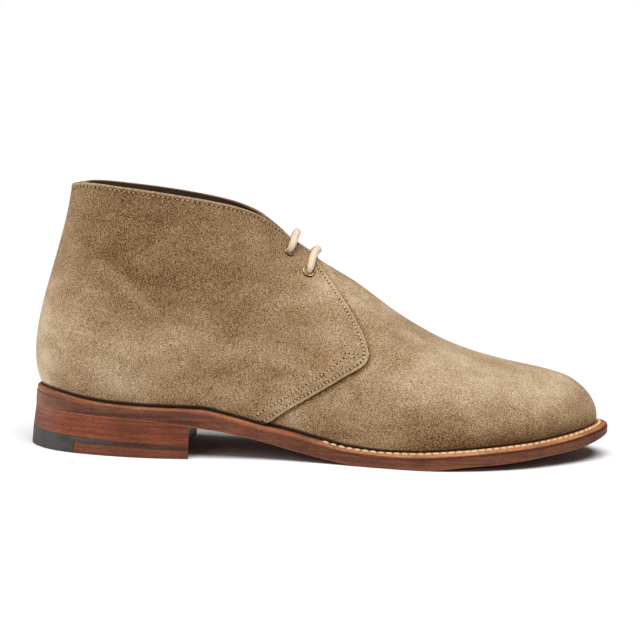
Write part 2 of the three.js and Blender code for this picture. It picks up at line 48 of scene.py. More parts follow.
# The last and the sole, in millimetres from the back of the sole: +x to the toe, -y to the
# outer side of the foot, +z up. Rows run from the back (0) to the tip (14).
last = {
    "soleLength": 304, "ballWidth": 103.8, "bootHeight": 137.4, "heelHeight": 25, "heelLength": 84,
    "footGap": 0.4, "wall": 2.2, "weltThickness": 2.8, "soleGap": 0.3,
    # x and half-widths of the sole as fractions, and the step in to the upper's foot
    "plan": [
        [0, 0, 0, 4.2], [0.021, 0.308, 0.318, 4], [0.066, 0.526, 0.52, 3.6], [0.138, 0.67, 0.636, 3.4],
        [0.224, 0.736, 0.624, 4.1], [0.316, 0.705, 0.54, 3.7], [0.414, 0.694, 0.489, 3.3],
        [0.513, 0.79, 0.578, 3.6], [0.605, 0.933, 0.775, 4.6], [0.694, 1.004, 0.94, 5.4],
        [0.783, 0.917, 0.994, 5.6], [0.862, 0.72, 0.925, 5.8], [0.934, 0.428, 0.732, 5.9],
        [0.982, 0.145, 0.463, 6], [1, -0.162, 0.162, 6.2],
    ],
    # top, gape, ridge, outLateral, outMedial, rise, spread, drop, lean of each rib
    "uprightFrom": 0.75, "levelTo": 0.2,  # heights v for the direction of the wall
    "ribs": [
        [0.061, 0, 0, 12, 12, 25, 0, 36, -3.3], [0.071, 9.5, 0, 11, 11, 25, 1.2, 36, -3],
        [0.102, 18.5, 0, 9, 9.5, 26, 1.5, 36, -2], [0.161, 25.3, 0, 7, 8.5, 28, 1.5, 37, -1],
        [0.23, 27.5, 0, 6, 9, 30, 1.5, 38, 0], [0.303, 24.8, 0, 6, 10.5, 31, 3, 36, 1],
        [0.375, 15.5, 0, 5.5, 12, 33, 8, 28, 3], [0.441, 2.2, 0.5, 4, 10, 36, 17, 12, 4],
        [0.517, 0, 1, 6, 9, 34, 21, 0, 4], [0.605, 0, 3, 8, 8.5, 28, 26, 0, 4],
        [0.691, 0, 5, 7.5, 8, 22, 29, 0, 4], [0.77, 0, 6.5, 6.5, 7, 17, 28, 0, 4],
        [0.839, 0, 7.5, 5, 5.5, 14, 22, 0, 5], [0.888, 0, 8, 3, 3, 12, 12, 0, 9],
        [0.908, 0, 8.2, 1.5, 1.5, 11, 0, 0, 12],
    ],
    "seatLine": [
        [0, 1.25], [0.05, 1.19], [0.1, 1.092], [0.15, 1.036], [0.21, 1.008], [0.29, 0.988],
        [0.345, 0.864], [0.395, 0.716], [0.445, 0.596], [0.495, 0.452], [0.545, 0.336], [0.6, 0.3],
        [0.65, 0.316], [0.72, 0.376], [0.8, 0.448], [0.87, 0.512], [0.93, 0.6], [1, 0.76],
    ],
    "undersideLine": [
        [0, 0.784], [0.066, 0.78], [0.14, 0.756], [0.207, 0.728], [0.276, 0.636], [0.33, 0.548],
        [0.395, 0.38], [0.46, 0.188], [0.526, 0.036], [0.56, 0], [0.67, 0], [0.74, 0.08],
        [0.806, 0.132], [0.872, 0.216], [0.9375, 0.304], [1, 0.5],
    ],
    "topLine": [
        [0.061, 0.991], [0.092, 1], [0.158, 0.989], [0.243, 0.968], [0.329, 0.9375], [0.372, 0.909],
        [0.411, 0.857], [0.441, 0.798], [0.488, 0.726], [0.517, 0.689], [0.549, 0.648],
        [0.629, 0.524], [0.682, 0.457], [0.73, 0.409], [0.802, 0.3625], [0.908, 0.315], [0.94, 0.29],
    ],
}
toeRow = len(last["plan"]) - 1
rowCount = 2 * toeRow
throatRow, collarFrontRow = 8, 6
stepsPerRow = 14  # of the sole's parts


# Rises smoothly from 0 to 1 between two values, as 3 s s - 2 s s s.
def ease(low, high, value):
    share = np.clip((np.asarray(value, float) - low) / (high - low), 0, 1)
    return share * share * (3 - 2 * share)


# A cubic through the points that never overshoots: its slope at a point is the harmonic mean of
# the two chords beside it, and zero where they turn.
def monotone(xs, ys):
    xs, ys = np.asarray(xs, float), np.asarray(ys, float)
    width = np.diff(xs)
    chord = np.diff(ys) / width
    slope = np.concatenate([chord[:1], chord])
    before, after = chord[:-1], chord[1:]
    same = before * after > 0
    slope[1:-1] = np.where(same, 2 * before * after / np.where(same, before + after, 1), 0)
    slope[-1] = chord[-1]

    def curve(x):
        i = np.clip(np.searchsorted(xs, x, side="left") - 1, 0, len(xs) - 2)
        s = np.clip((np.asarray(x, float) - xs[i]) / width[i], 0, 1)
        start = (1 + 2 * s) * (1 - s) ** 2 * ys[i] + s * (1 - s) ** 2 * width[i] * slope[i]
        return start + s * s * (3 - 2 * s) * ys[i + 1] - s * s * (1 - s) * width[i] * slope[i + 1]

    return curve


# The closed cubic B-spline that passes through one value for each row: its control values solve
# one sixth of the one before, two thirds of its own and one sixth of the one after.
def closedSpline(values):
    count = len(values)
    same = np.eye(count)
    control = np.linalg.solve((4 * same + np.roll(same, 1, 1) + np.roll(same, -1, 1)) / 6, values)

    def curve(t):
        t = np.asarray(t, float)
        i = np.floor(t).astype(int)
        f = t - i
        weights = [(1 - f) ** 3, 3 * f**3 - 6 * f * f + 4, -3 * f**3 + 3 * f * f + 3 * f + 1, f**3]
        return sum(w * control[(i - 1 + j) % count] for j, w in enumerate(weights)) / 6

    return curve


# Goes round the boot: out along the outer side to the toe and back along the inner side.
def around(lateral, medial=None):
    medial = lateral if medial is None else medial
    return closedSpline(np.concatenate([lateral, medial[1:-1][::-1]]))


def heightCurve(table, scale):
    table = np.array(table)
    return monotone(table[:, 0] * last["soleLength"], table[:, 1] * scale)


plan, ribs = np.array(last["plan"], float), np.array(last["ribs"], float)
halfBall = last["ballWidth"] / 2
outlineX = around(plan[:, 0] * last["soleLength"])
outlineY = around(-plan[:, 1] * halfBall, plan[:, 2] * halfBall)
footMargin = around(plan[:, 3])
seatZ = heightCurve(last["seatLine"], last["heelHeight"])
undersideZ = heightCurve(last["undersideLine"], last["heelHeight"])
topZ = heightCurve(last["topLine"], last["bootHeight"])
ribTopX = around(ribs[:, 0] * last["soleLength"])
ribRidge, ribRise, ribLean = (around(ribs[:, i]) for i in (2, 5, 8))
ribOut, ribSpread = around(ribs[:, 3], ribs[:, 4]), around(-ribs[:, 6], ribs[:, 6])
gapeByRow, dropByRow = (monotone(np.arange(toeRow + 1), ribs[:, i]) for i in (1, 7))


def rowOf(t):
    return np.minimum(np.mod(t, rowCount), rowCount - np.mod(t, rowCount))


# The outer side of the foot is side -1 and the inner side is 1.
def onSide(row, side):
    return row if side < 0 else rowCount - row


def sideName(side):
    return "lateral" if side < 0 else "medial"


def soleTopZ(x):
    return seatZ(x) - last["weltThickness"] - last["soleGap"]


# The sole's outline at t, stepped in along its own sideways direction.
def outline(t, inset=0.0):
    step = 0.01
    dx = outlineX(t + step) - outlineX(t - step)
    dy = outlineY(t + step) - outlineY(t - step)
    length = np.hypot(dx, dy)
    nx, ny = dy / length, -dx / length
    return outlineX(t) - nx * inset, outlineY(t) - ny * inset, nx, ny


# The last: at each t a cubic Bezier curve in v from the upper's foot to the top line.
def upperPoint(t, v):
    t, v = np.broadcast_arrays(np.asarray(t, float), np.asarray(v, float))
    footX, footY, nx, ny = outline(t, footMargin(t))
    side = np.where(np.mod(t, rowCount) <= toeRow, -1, 1)
    x = ribTopX(t)
    slope = (topZ(x + 1) - topZ(x - 1)) / 2
    lean, out, footZ = ribLean(t), ribOut(t), seatZ(footX) + last["footGap"]
    topY = ribRidge(t) + side * gapeByRow(rowOf(t))
    guides = [
        (footX, footY, footZ),
        (footX + nx * out, footY + ny * out, footZ + ribRise(t)),
        (x + lean, topY + ribSpread(t), topZ(x) + slope * lean - dropByRow(rowOf(t))),
        (x, topY, topZ(x)),
    ]
    weights = [(1 - v) ** 3, 3 * v * (1 - v) ** 2, 3 * v * v * (1 - v), v**3]
    return sum(np.stack(g, -1) * w[..., None] for g, w in zip(guides, weights))


def unit(vectors):
    return vectors / np.maximum(np.linalg.norm(vectors, axis=-1, keepdims=True), 1e-12)


# The outward direction: along the boot crossed with up the rib.
def upperNormal(t, v):
    step = 0.01
    low = np.clip(np.asarray(v, float) - step, 0, 1 - 2 * step)
    along = upperPoint(t + step, low) - upperPoint(t - step, low)
    return unit(np.cross(along, upperPoint(t, low + 2 * step) - upperPoint(t, low)))


# The way the wall has its thickness: level at the foot, upright where the two facings meet.
def wallDirection(t, v):
    normal = upperNormal(t, v)
    x = ribTopX(t)
    crest = unit(np.stack([-(topZ(x + 1) - topZ(x - 1)) / 2, 0 * x, 0 * x + 1], -1))
    upright = ease(collarFrontRow, collarFrontRow + 1, rowOf(t)) * ease(last["uprightFrom"], 1, v)
    flat = np.ones(normal.shape[:-1])
    normal = unit(normal * np.stack([flat, flat, flat * ease(0, last["levelTo"], v)], -1))
    return unit(normal + upright[..., None] * (crest - normal))


# where the last's frame lies in the model's, from the toe and the outer side of the outsole's box
outsoleLow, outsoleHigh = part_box("outsole")
sampled = np.arange(rowCount * 3) / 3
shift = np.array([
    outsoleHigh[0] * 1000 - outlineX(sampled).max(), outsoleLow[1] * 1000 - outlineY(sampled).min(), 0.0,
])


def gridQuads(index):
    return np.stack([index[:-1, :-1], index[1:, :-1], index[1:, 1:], index[:-1, 1:]], -1).reshape(-1, 4)


def pointIndex(points):
    return np.arange(points.shape[0] * points.shape[1]).reshape(points.shape[:2])


# The faces of a tube whose rings are the rows of points; its two ends can be capped.
def tubeFaces(points, capped=True):
    index = pointIndex(points)
    faces = gridQuads(np.hstack([index, index[:, :1]])).tolist()
    return faces + [index[0].tolist(), index[-1][::-1].tolist()] if capped else faces


def ringAngles(count):
    return np.linspace(0, 2 * math.pi, count, endpoint=False)


def lengthAlong(points):
    return np.concatenate([[0], np.cumsum(np.linalg.norm(np.diff(points, axis=0), axis=1))])


# 1 at zero, falling smoothly both ways, as e to the power of minus the square.
def bell(value):
    return np.exp(-(value**2))


def addObject(name, data, matrix=None):
    made = bpy.data.objects.new(name, data)
    bpy.context.scene.collection.objects.link(made)
    if matrix:
        made.matrix_world = matrix
    return made


# Makes a mesh in metres from points in the last's millimetres; shared corners are merged, faces
# are turned outwards, and edges sharper than 50 degrees keep their corner.
def makePiece(name, points, faces, look, node=None, fields=None):
    mesh = bpy.data.meshes.new(name)
    points = (points.reshape(-1, 3) + shift) * 0.001
    mesh.from_pydata(points.tolist(), [], [list(f) for f in faces])
    for key, values in (fields or {}).items():
        layer = mesh.attributes.new(key, "FLOAT", "POINT")
        layer.data.foreach_set("value", np.ascontiguousarray(values, np.float32).ravel())
    work = bmesh.new()
    work.from_mesh(mesh)
    bmesh.ops.remove_doubles(work, verts=work.verts, dist=2e-6)
    bmesh.ops.dissolve_degenerate(work, dist=1e-7, edges=work.edges)
    bmesh.ops.recalc_face_normals(work, faces=work.faces)
    if work.calc_volume(signed=True) < 0:
        bmesh.ops.reverse_faces(work, faces=work.faces)
    work.to_mesh(mesh)
    work.free()
    mesh.shade_smooth()
    mesh.set_sharp_from_angle(angle=math.radians(50))
    mesh.materials.append(looks[look])
    made = addObject(name, mesh)
    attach(made, "root")
    if node:
        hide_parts(node)


# Two grids a thickness apart, joined along their open borders; a folded end meets itself.
def joinGrids(outer, inner, closedRows=False, openTop=None, foldedEnd=False):
    index = pointIndex(outer)
    under = index + index.size
    if closedRows:
        index, under = (np.vstack([part, part[:1]]) for part in (index, under))
    faces = [gridQuads(index), gridQuads(under)[:, ::-1]]
    strips = [(index[:, 0], under[:, 0], None), (index[:, -1], under[:, -1], openTop)]
    if not closedRows:
        strips.append((index[0], under[0], None))
    if not closedRows and not foldedEnd:
        strips.append((index[-1], under[-1], None))
    for front, back, keep in strips:
        quads = np.stack([front[:-1], front[1:], back[1:], back[:-1]], -1)
        faces.append(quads if keep is None else quads[keep])
    return np.concatenate([outer.reshape(-1, 3), inner.reshape(-1, 3)]), np.concatenate(faces)


# How far an edge falls away inside a rounding of the given radius, at a distance from the edge.
def edgeDrop(distance, radius):
    share = np.clip(1 - distance / radius, 0, 1)
    return radius * (1 - np.sqrt(1 - share * share))


def srgb(red, green, blue):
    c = np.array([red, green, blue]) / 255
    c = np.where(c <= 0.04045, c / 12.92, ((c + 0.055) / 1.055) ** 2.4)
    return (*c.tolist(), 1.0)


# camera
camera = {
    "lens": 99.28, "sensor": 36, "position": (-9.7, -918.7, 181), "yaw": -0.45, "pitch": 7.0, "roll": 1.70,
}


# Looks along +y turned by yaw, tipped down by pitch, then rolled about the line of sight.
def makeCamera(c):
    yaw, pitch, roll = (math.radians(c[k]) for k in ("yaw", "pitch", "roll"))
    ahead = Vector((-math.sin(yaw), math.cos(yaw), 0))
    upAxis = Vector((0, 0, 1))
    forward = ahead * math.cos(pitch) - upAxis * math.sin(pitch)
    above = ahead * math.sin(pitch) + upAxis * math.cos(pitch)
    side = Vector((math.cos(yaw), math.sin(yaw), 0))
    right = side * math.cos(roll) + above * math.sin(roll)
    up = above * math.cos(roll) - side * math.sin(roll)
    data = bpy.data.cameras.new("camera")
    data.lens, data.sensor_width = c["lens"], c["sensor"]
    data.clip_start, data.clip_end = 0.01, 50
    turned = Matrix((right, up, -forward)).transposed().to_4x4()
    place = Matrix.Translation(Vector(c["position"]) * 0.001)
    bpy.context.scene.camera = addObject("camera", data, place @ turned)


makeCamera(camera)
print("camera placed")


# Nodes. A wire is one value in a node tree: + - * and the methods add nodes after it, and any input
# may be a wire or a constant. A colour is three numbers up to 255, or four that are linear already.
class Wire:
    def __init__(self, tree, socket):
        self.tree, self.socket = tree, socket

    def maths(self, operation, other=0.0, clamp=False):
        return put(self.tree, "ShaderNodeMath", {0: self, 1: other}, operation=operation, use_clamp=clamp)[0]

    def __add__(self, other):
        return self.maths("ADD", other)

    def __sub__(self, other):
        return self.maths("SUBTRACT", other)

    def __mul__(self, other):
        return self.maths("MULTIPLY", other)

    def remap(self, fromLow, fromHigh, toLow=0.0, toHigh=1.0):
        inputs = {0: self, 1: fromLow, 2: fromHigh, 3: toLow, 4: toHigh}
        return put(self.tree, "ShaderNodeMapRange", inputs)[0]

    def mapped(self, rotation=(0, 0, 0), scale=(1, 1, 1)):
        return put(self.tree, "ShaderNodeMapping", {"Vector": self, "Rotation": rotation, "Scale": scale})[0]

    def noise(self, scale, detail=2.0, roughness=0.5, distortion=0.0):
        inputs = {"Scale": scale, "Detail": detail, "Roughness": roughness, "Distortion": distortion}
        return put(self.tree, "ShaderNodeTexNoise", {"Vector": self, **inputs})[0]

    def blend(self, first, second, factor=None, kind="MIX"):
        inputs = {0: self if factor is None else factor, 6: linear(first), 7: linear(second)}
        return put(self.tree, "ShaderNodeMix", inputs, data_type="RGBA", blend_type=kind)[2]

    def shaded(self, value):
        grey = put(self.tree, "ShaderNodeCombineColor", {0: value, 1: value, 2: value})[0]
        return self.blend(self, grey, 1.0, "MULTIPLY")


def linear(colour):
    return colour if isinstance(colour, Wire) or len(colour) == 4 else srgb(*colour)


def put(tree, kind, inputs=None, **settings):
    made = tree.nodes.new(kind)
    for key, value in settings.items():
        setattr(made, key, value)
    for key, value in (inputs or {}).items():
        if isinstance(value, Wire):
            tree.links.new(value.socket, made.inputs[key])
        else:
            made.inputs[key].default_value = value
    return [Wire(tree, socket) for socket in made.outputs]


# A group takes a vector and named numbers, and gives named values, as its build function does.
def makeGroup(name, build, numbers, outputs):
    group = bpy.data.node_groups.new(name, "ShaderNodeTree")
    newSocket = group.interface.new_socket
    newSocket("Vector", in_out="INPUT", socket_type="NodeSocketVector")
    for socket, value in numbers.items():
        newSocket(socket, in_out="INPUT", socket_type="NodeSocketFloat").default_value = value
    for socket in outputs:
        newSocket(socket, in_out="OUTPUT", socket_type="NodeSocketFloat")
    results = build(*put(group, "NodeGroupInput")[:len(numbers) + 1])
    put(group, "NodeGroupOutput", dict(enumerate(results)))
    return group


# Brushed nap: fine tufts and finer fibres, lying in soft patches that catch the light apart.
def buildNap(vector, tufts, patches):
    tuft = vector.noise(tufts, 1.0, 0.5, 0.25)
    fibre = vector.mapped((0.2, 0.6, 0.1), (1.0, 1.0, 0.45)).noise(tufts * 1.7, 2.0, 0.6, 0.4)
    brushed = vector.mapped((0.0, 0.6, 0.0), (0.7, 1.0, 1.25))
    broad, small = (brushed.noise(scale, 2.0, 0.5, 0.8) for scale in (patches, patches * 3.4))
    return tuft, fibre, broad * 0.68 + small * 0.32, tuft * 0.65 + fibre * 0.35


# Stacked or split leather seen on its edge: long thin streaks, short dark pores, burnished spots.
def buildEdge(vector, scale):
    laid = vector.mapped((0.0, 0.04, 0.0), (1.0, 1.0, 26.0))
    streak, pores = laid.noise(scale, 5.0, 0.62, 0.15), laid.noise(scale * 6.0, 3.0, 0.7)
    cloud = vector.noise(scale * 1.4, 3.0, 0.55, 0.5)
    mottle = vector.mapped(scale=(1.0, 1.0, 2.2)).noise(scale * 22.0, 3.0, 0.62, 0.3)
    return streak, pores, cloud, mottle, streak * 0.35 + pores * 0.35 + mottle * 0.5


# Smooth leather: fine pebbled grain with soft colour clouds.
def buildGrain(vector, scale):
    cells = put(vector.tree, "ShaderNodeTexVoronoi", {"Vector": vector, "Scale": scale})[0]
    fine, cloud = vector.noise(scale * 1.7), vector.noise(scale * 0.06, 3.0, 0.55, 0.4)
    return fine, cloud, cells * -0.7 + fine * 0.3


napGroup = makeGroup(
    "brushedNap", buildNap, {"Tuft Scale": 900.0, "Patch Scale": 28.0}, ["Tuft", "Fibre", "Patch", "Height"])
edgeGroup = makeGroup(
    "leatherEdge", buildEdge, {"Streak Scale": 30.0}, ["Streak", "Pores", "Cloud", "Mottle", "Height"])
grainGroup = makeGroup("leatherGrain", buildGrain, {"Grain Scale": 900.0}, ["Grain", "Cloud", "Height"])


def newMaterial(name):
    material = bpy.data.materials.new(name)
    material.use_nodes = True
    material.node_tree.nodes.clear()
    return material, put(material.node_tree, "ShaderNodeTexCoord")[3]  # Object coordinates


def attribute(place, name):
    return put(place.tree, "ShaderNodeAttribute", attribute_name=name)[2]


def grouped(place, group, numbers):
    return put(place.tree, "ShaderNodeGroup", {"Vector": place, **numbers}, node_tree=group)


# Gives a material its shader: what varies is linked, and what is the same all over is set.
def finish(material, colour, roughness, height=None, depth=0.0, others=None):
    tree = material.node_tree
    inputs = {"Base Color": linear(colour), "Roughness": roughness, **(others or {})}
    if height:
        inputs["Normal"] = put(tree, "ShaderNodeBump", {"Height": height, "Distance": depth})[0]
    put(tree, "ShaderNodeOutputMaterial", {0: put(tree, "ShaderNodeBsdfPrincipled", inputs)[0]})
    return material


def scaled(colour, factor):
    return tuple(c * factor for c in colour)


suedeLook = {
    "dark": (100, 70, 40), "middle": (158, 127, 92), "light": (214, 193, 164), "cutEdge": (202, 177, 143),
    "paintedFootShade": (26, 17, 12), "tuftScale": 1800.0, "patchScale": 24.0, "patchStrength": 1.15,
    "tuftStrength": 0.23, "tuftOnDark": 0.32, "fibreStrength": (4.4, 1.9, 0.45), "bumpDepth": 0.0006,
    "gloss": {
        "Specular IOR Level": 0.08, "Sheen Weight": 0.15, "Sheen Roughness": 0.55,
        "Sheen Tint": (0.95, 0.85, 0.7, 1),
    },
}


# Suede: patches and the piece's own tone choose the colour, the tone carrying painted light and shade too;
# tufts and fibres speckle it, the cut edges show the paler inside of the leather, and the foot is painted
# near black as shade in the crevice where it meets the sole.
def makeSuede(name, look, darker=1.0):
    material, place = newMaterial(name)
    scales = {"Tuft Scale": look["tuftScale"], "Patch Scale": look["patchScale"]}
    tuft, fibre, patch, height = grouped(place, napGroup, scales)
    tuft = tuft.remap(0.34, 0.66, -1, 1)
    tone = attribute(place, "tone") + 0.5 + (patch - 0.5) * look["patchStrength"]
    tone = tone.maths("ADD", tuft * look["tuftStrength"], clamp=True)
    dark, middle, light = ((*scaled(srgb(*look[k])[:3], darker), 1.0) for k in ("dark", "middle", "light"))
    colour = tone.remap(0, 0.5).blend(dark, middle)
    colour = tone.remap(0.5, 1).blend(colour, light)
    onDark, onMiddle, onLight = look["fibreStrength"]
    strength = tone.remap(0.1, 0.5, onDark, onMiddle) + tone.remap(0.5, 0.75, 0, onLight - onMiddle)
    speckle = (fibre - 0.5) * strength + 1.0 + tuft * tone.remap(0.15, 0.65, look["tuftOnDark"], 0)
    colour = (attribute(place, "cutEdge") * 0.55).blend(colour, look["cutEdge"]).shaded(speckle)
    colour = (attribute(place, "paintedFootShade") * 0.93).blend(colour, look["paintedFootShade"])
    return finish(material, colour, 0.95, height, look["bumpDepth"], look["gloss"])


leatherLook = {"grainScale": 900.0, "depth": 0.00008}


# Smooth leather in one colour, with grain and soft clouds.
def makeLeather(name, dark, light, roughness, look=leatherLook):
    material, place = newMaterial(name)
    fine, cloud, height = grouped(place, grainGroup, {"Grain Scale": look["grainScale"]})
    colour = (cloud * 0.7 + fine * 0.3).remap(0.35, 0.65).blend(dark, light)
    rough = cloud.remap(0.3, 0.7, roughness + 0.08, roughness - 0.08)
    return finish(material, colour, rough, height, look["depth"])


edgeLook = {
    "streakScale": 26.0, "roughness": 0.5, "depth": 0.00009, "mottle": 1.5, "stain": (104, 56, 38),
    "tick": (38, 22, 15), "tickPitch": 1.3,
    "gloss": {"Specular IOR Level": 0.22, "Coat Weight": 0.04, "Coat Roughness": 0.4},
}


# The burnished edge of sole leather: streaks between three browns, a stained stretch (stain), a
# darker band where the edge was wheeled (wheel), and a paler line (line), which on the welt and the rand
# is a painted highlight along the lip and on the outsole a pale line along its bottom.
def makeEdgeLeather(name, dark, middle, light, waxed=(166, 100, 62), look=edgeLook):
    material, place = newMaterial(name)
    wheel, line, stain, along = (attribute(place, key) for key in ("wheel", "line", "stain", "along"))
    streak, pores, cloud, mottle, height = grouped(place, edgeGroup, {"Streak Scale": look["streakScale"]})
    mixed = streak * 0.62 + cloud * 0.38
    colour = mixed.remap(0.33, 0.5).blend(dark, middle)
    colour = mixed.remap(0.5, 0.68).blend(colour, light)
    colour = (pores.remap(0.58, 0.72) * 0.45).blend(colour, scaled(dark, 0.62))
    ticks = (along * (2 * math.pi / look["tickPitch"])).maths("SINE").remap(-0.2, 0.7)
    ticks = ticks * (wheel * pores.remap(0.35, 0.6))
    stained = mixed.remap(0.36, 0.64).blend(scaled(look["stain"], 0.8), scaled(look["stain"], 1.18))
    colour = stain.blend(colour, stained)
    colour = (wheel * 0.4).blend(colour, scaled(dark, 0.72))
    colour = (ticks * 0.7).blend(colour, look["tick"])
    colour = (line * cloud.remap(0.35, 0.65, 0.35, 0.85)).blend(colour, waxed)
    colour = colour.shaded((mottle - 0.5) * look["mottle"] + 1.0)
    rough = cloud.remap(0.3, 0.7, look["roughness"] + 0.12, look["roughness"] - 0.08)
    return finish(material, colour, rough, height - ticks * 0.9, look["depth"], look["gloss"])


def makeRubber():
    material, place = newMaterial("heelRubber")
    fine, dust = place.noise(1500.0), place.noise(70.0, 4.0, 0.6, 0.5)
    scuffs = dust.remap(0.42, 0.66, 0, 0.7).maths("ADD", fine.remap(0.55, 0.75, 0, 0.5), clamp=True)
    colour = scuffs.blend((36, 31, 29), (76, 69, 65))
    return finish(material, colour, dust.remap(0.3, 0.7, 0.55, 0.75), fine, 0.00006)


def makeBrass():
    material, place = newMaterial("agedBrass")
    wear = place.noise(420.0, 4.0, 0.65, 0.4)
    colour = wear.remap(0.38, 0.62).blend((92, 68, 42), (214, 184, 138))
    # The depth attribute is painted shade: near black down the barrel and dark under the ring's lower side.
    colour = attribute(place, "depth").blend(colour, (16, 11, 8))
    return finish(material, colour, wear.remap(0.3, 0.7, 0.5, 0.3), wear, 0.00003, {"Metallic": 0.9})


cordLook = {"dark": (200, 172, 138), "light": (238, 217, 192), "strands": 8, "strandLength": 2.2}


# Round cord: two sets of strands wind opposite ways round it and cross as a braid.
def makeCord(look):
    material, place = newMaterial("lacecord")
    along = attribute(place, "along") * (2 * math.pi / look["strandLength"])
    turn = attribute(place, "turn") * look["strands"]
    braid = (along + turn).maths("SINE").maths("MAXIMUM", (along - turn).maths("SINE"))
    fuzz = place.noise(2200.0, 3.0, 0.6)
    mixed = braid.remap(-0.6, 1, 0, 0.7).maths("ADD", fuzz * 0.5, clamp=True)
    colour = mixed.blend(look["dark"], look["light"])
    return finish(material, colour, 0.7, braid + fuzz * 0.8, 0.00007, {"Sheen Weight": 0.15})


def makeThread(name, dark, light):
    material, place = newMaterial(name)
    twist = place.noise(2600.0)
    return finish(material, twist.remap(0.35, 0.65).blend(dark, light), 0.6, twist, 0.00005)


# A needle hole's disc is painted dark brown as the shade inside the hole.
def makeHole():
    material, place = newMaterial("needleHole")
    colour = place.noise(1800.0).blend((58, 38, 22), (98, 70, 45))
    return finish(material, colour, 1.0, others={"Specular IOR Level": 0.0})


looks = {
    "suede": makeSuede("suede", suedeLook),
    "tongueSuede": makeSuede("tongueSuede", suedeLook, darker=0.62),
    "lining": makeLeather("liningLeather", (58, 40, 28), (88, 64, 46), 0.55),
    "heelLining": makeLeather("heelLiningLeather", (214, 186, 128), (236, 212, 158), 0.6),
    "insole": makeLeather("insoleLeather", (176, 130, 84), (206, 162, 112), 0.5),
    "welt": makeEdgeLeather("weltLeather", (130, 78, 44), (170, 116, 72), (200, 148, 100)),
    "rand": makeEdgeLeather("randLeather", (86, 50, 34), (118, 72, 48), (150, 98, 66)),
    "sole": makeEdgeLeather("soleLeather", (76, 41, 28), (106, 61, 42), (136, 84, 56), waxed=(164, 92, 56)),
    "heel": makeEdgeLeather("heelLeather", (86, 41, 26), (117, 59, 37), (144, 78, 48)),
    "topPiece": makeEdgeLeather("topPieceLeather", (80, 41, 27), (110, 58, 38), (136, 76, 48)),
    "darkLift": makeEdgeLeather("darkLiftLeather", (50, 32, 24), (72, 44, 33), (96, 60, 43)),
    "rubber": makeRubber(),
    "brass": makeBrass(),
    "cord": makeCord(cordLook),
    "thread": makeThread("suedeThread", (176, 150, 114), (228, 206, 170)),
    "lowThread": makeThread("lowSeamThread", (158, 130, 94), (210, 184, 146)),
    "collarThread": makeThread("collarSeamThread", (136, 108, 77), (192, 163, 124)),
    "weltThread": makeThread("weltThread", (196, 162, 116), (238, 214, 174)),
    "hole": makeHole(),
}
print("materials made:", len(looks))

# the quarter's pattern: its front edge as the row it reaches at each height v
quarter = {
    "frontEdge": [
        [0, 5.87], [0.028, 5.986], [0.083, 6.196], [0.135, 6.429], [0.192, 6.71], [0.257, 7.071],
        [0.306, 7.376], [0.344, 7.652], [0.377, 7.846], [0.406, 7.939], [0.434, 7.985], [0.469, 7.993],
        [0.512, 7.988], [0.581, 7.927], [0.646, 7.845], [0.758, 7.694], [0.823, 7.595], [0.87, 7.545],
        [1, 7.53],
    ],
    "thickness": 1.3, "proud": 1.3, "flatLap": 4, "lapEnd": 24, "rounding": 0.5, "deepest": 0.46,
    "seamDepth": 0.2, "seamWidth": 0.5, "seamInset": 2.1,
    "shadeInside": 0.6, "shadeEdge": 0.5, "paleEdge": (0.4, 1.3), "paleInside": 0.4,
    "length": 150, "height": 112, "rows": 150, "columns": 96,  # about, for the steps beside an edge
    "edgeSteps": [0, 0.08, 0.2, 0.36, 0.6, 1.0, 1.5, 2.1, 2.7, 3.3],
}
frontEdge = monotone(*np.array(quarter["frontEdge"]).T)


# Millimetres behind the front edge for each row of t, square to the edge, as a table over v that
# is averaged over its neighbours within the reach.
def makeEdgeScale(samples=400, reach=8, step=1e-3):
    v = np.linspace(0, 1, samples)
    t = frontEdge(v)
    alongRow = (upperPoint(t + step, v) - upperPoint(t - step, v)) / (2 * step)
    edge = np.gradient(upperPoint(t, v), v, axis=0)
    square = np.linalg.norm(np.cross(alongRow, unit(edge)), axis=-1)
    window = np.ones(2 * reach + 1)
    square = np.convolve(np.pad(square, reach, mode="edge"), window / len(window), mode="valid")
    return lambda at: np.interp(at, v, square)


edgeScale = makeEdgeScale()


def behindEdge(t, v):
    return (frontEdge(v) - rowOf(t)) * edgeScale(v)


# The quarter lies a thickness proud at its front edge and comes down to the last behind the lap.
def quarterLift(t, v):
    return quarter["proud"] * (1 - ease(quarter["flatLap"], quarter["lapEnd"], behindEdge(t, v)))
